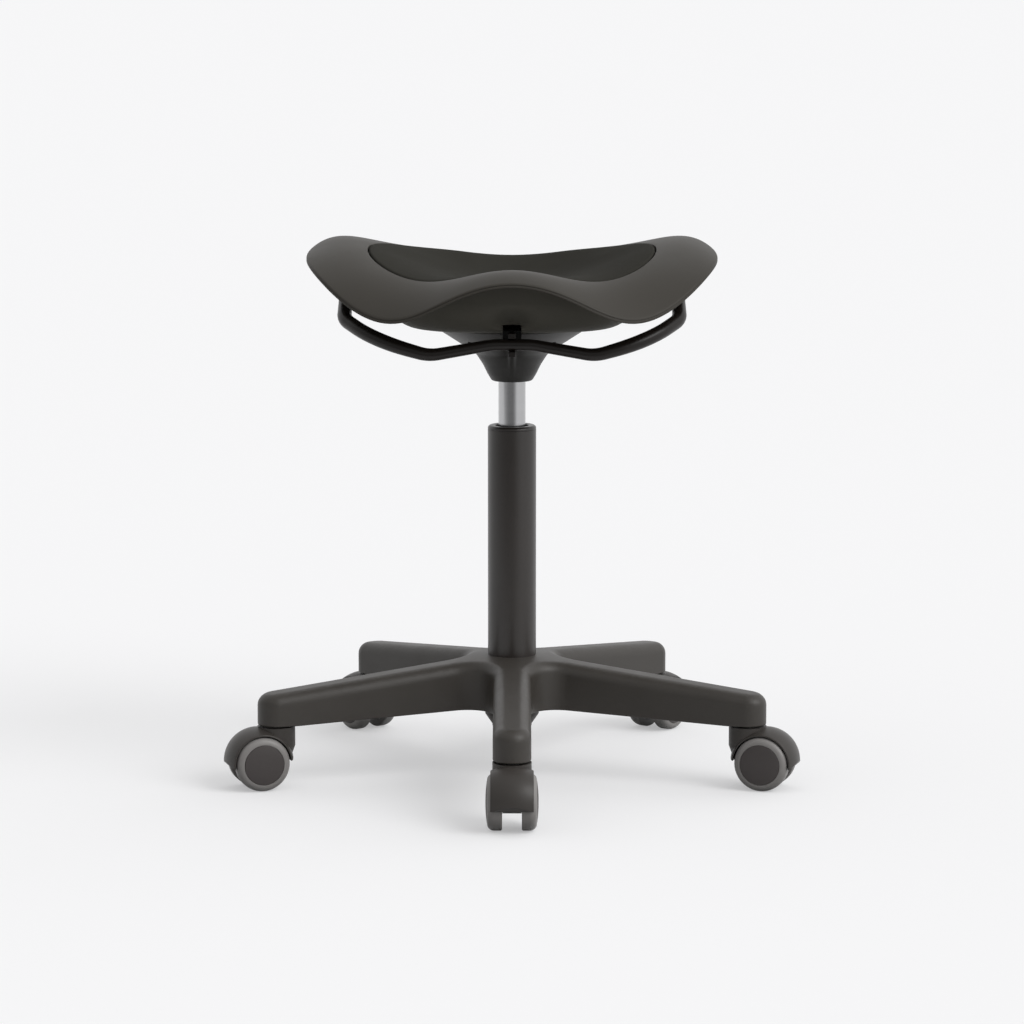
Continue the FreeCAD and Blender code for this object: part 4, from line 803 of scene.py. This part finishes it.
made_by(bail, bar_tree, {"Middle radius": bail_middle_radius, "Bend radius": bail_bend_radius,
                         "End radius": bail_end_radius, "Finish": satin_paint})
for face in bail.data.polygons:
    face.use_smooth = True
bail.data.set_sharp_from_angle(angle=math.radians(bail_crease))
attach(bail, "bail")
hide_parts("height_bail")
dressed("bail_bearings_moulding", "bail_bearings", "seat", bush_acetal)
dressed("trip_lever_pressing", "trip_lever", "release_lever", satin_paint,
        bevel=lever_edge)
given_finish(turned_steel, "bearing_screws")


# Studio
# A pale floor that runs on into a pale backdrop, one broad soft sun from the upper right
# in front, and dim light from all round that is stronger from the right and from above.

pale = tone(252, 252, 253)
floor_reach = 60
floor_glow = 0.95
floor_lift = 0.4
dull_floor = (0.1, 0.1, 0.1, 1)
gloss_near = 0.85
gloss_right = 0.9
gloss_left = 0.2
gloss_all_over = 0.14
scatter_ahead = 0.6
floor_mesh = bpy.data.meshes.new("floor")
floor_mesh.from_pydata([(-floor_reach, -floor_reach, 0), (floor_reach, -floor_reach, 0),
                        (floor_reach, floor_reach, 0), (-floor_reach, floor_reach, 0)],
                       [], [(0, 1, 2, 3)])
floor = bpy.data.objects.new("floor", floor_mesh)
bpy.context.scene.collection.objects.link(floor)
floor_finish = bpy.data.materials.new("floor_paper")
floor_finish.use_nodes = True
floor_finish.node_tree.nodes.clear()
paper = Nodes(floor_finish.node_tree)


def parted(nodes, coordinate):
    """The three parts of a texture coordinate, each on its own."""
    node = nodes.add("ShaderNodeSeparateXYZ", {},
                     {"Vector": nodes.add("ShaderNodeTexCoord", output=coordinate)}).socket.node
    return [Value(nodes, node.outputs[name]) for name in ("X", "Y", "Z")]


def kinds_of_ray(nodes):
    """Shares for rays from the camera, from glossy or clear surfaces, and from dull ones."""
    ray = nodes.tree.nodes.new("ShaderNodeLightPath")
    kinds = {name: Value(nodes, ray.outputs["Is %s Ray" % name])
             for name in ("Camera", "Glossy", "Transmission", "Diffuse")}
    return kinds["Camera"], (kinds["Glossy"] + kinds["Transmission"]).clamped(), kinds["Diffuse"]


# The camera sees the floor pale all over. The object's gloss sees it pale beneath the object
# and to the sides, most of all on the right, and dull far in front, where a studio is dark.
# Only the floor in front throws pale light back on the object's matt surfaces.
across, along, _ = parted(paper, "Object")
bearing = across / abs(along - 0.3)
near = eased(paper, along, -1.5, -0.7)
ahead = eased(paper, along, -0.3, -1.2)
beside = eased(paper, bearing, 0.1, 1.0) * gloss_right \
    + eased(paper, bearing, -0.3, -1.3) * gloss_left
camera_ray, mirrored, scattered = kinds_of_ray(paper)
plain = paper.add("ShaderNodeBsdfDiffuse", {}, {"Color": (*pale, 1)})
dull = paper.add("ShaderNodeBsdfDiffuse", {}, {"Color": dull_floor})
glow = paper.add("ShaderNodeEmission", {}, {"Color": (*pale, 1), "Strength": floor_glow})
lifted_shade = paper.add("ShaderNodeMixShader", {},
                         {0: camera_ray * floor_lift, 1: plain, 2: glow})
pale_share = camera_ray + mirrored * (near * gloss_near + beside + gloss_all_over).clamped() \
    + scattered * ahead * scatter_ahead
shown = paper.add("ShaderNodeMixShader", {}, {0: pale_share.clamped(), 1: dull, 2: lifted_shade})
paper.add("ShaderNodeOutputMaterial", {}, {"Surface": shown})
floor_mesh.materials.append(floor_finish)

world = bpy.data.worlds.new("surround")
bpy.context.scene.world = world
world.use_nodes = True
world.node_tree.nodes.clear()
air = Nodes(world.node_tree)
from_right = 0.95
from_left = 0.08
from_above = 0.28
from_all_round = 0.15
low_light = 0.32
high_light = 1.04
backdrop_light = 0.95


def lamp(strength, tint=(1, 1, 1)):
    """Light of one strength and colour from the surround."""
    return air.add("ShaderNodeBackground", {}, {"Color": (*tint, 1), "Strength": strength})


camera_ray, mirrored, _ = kinds_of_ray(air)
across, along, upwards = parted(air, "Generated")
right = eased(air, across, 0.1, 0.6)
left = eased(air, across, -0.55, -0.9)
behind = eased(air, along, -0.1, 0.5)
above = eased(air, upwards, 0.3, 0.9)
lit = (right * from_right + left * from_left + above * from_above + from_all_round).clamped()
studio = air.add("ShaderNodeMixShader", {}, {0: lit, 1: lamp(low_light), 2: lamp(high_light)})
backdrop = lamp(backdrop_light, pale)
reflected = air.add("ShaderNodeMixShader", {}, {0: behind * mirrored, 1: studio, 2: backdrop})
shown = air.add("ShaderNodeMixShader", {}, {0: camera_ray, 1: reflected, 2: backdrop})
air.add("ShaderNodeOutputWorld", {}, {"Surface": shown})

sun_data = bpy.data.lights.new("soft_sun", "SUN")
sun_data.energy = 1.17
sun_data.angle = math.radians(35)
sun = bpy.data.objects.new("soft_sun", sun_data)
sun.rotation_mode = "QUATERNION"
sun.rotation_quaternion = Vector((0.66, -0.42, 0.63)).to_track_quat("Z", "Y")
bpy.context.scene.collection.objects.link(sun)

camera_distance = 4.011
camera_tilt = math.radians(8.59)
picture_width = 1024
focal_length_in_pixels = 3871
aim = Vector((0, 0, 0.2729))
backwards = Vector((0, -math.cos(camera_tilt), math.sin(camera_tilt)))
camera_data = bpy.data.cameras.new("camera")
camera_data.sensor_width = 36
camera_data.lens = camera_data.sensor_width * focal_length_in_pixels / picture_width
camera_data.clip_end = 200
camera = bpy.data.objects.new("camera", camera_data)
camera.location = aim + backwards * camera_distance
camera.rotation_mode = "QUATERNION"
camera.rotation_quaternion = (-backwards).to_track_quat("-Z", "Y")
bpy.context.scene.collection.objects.link(camera)
bpy.context.scene.camera = camera
bpy.context.scene.view_settings.view_transform = "Standard"
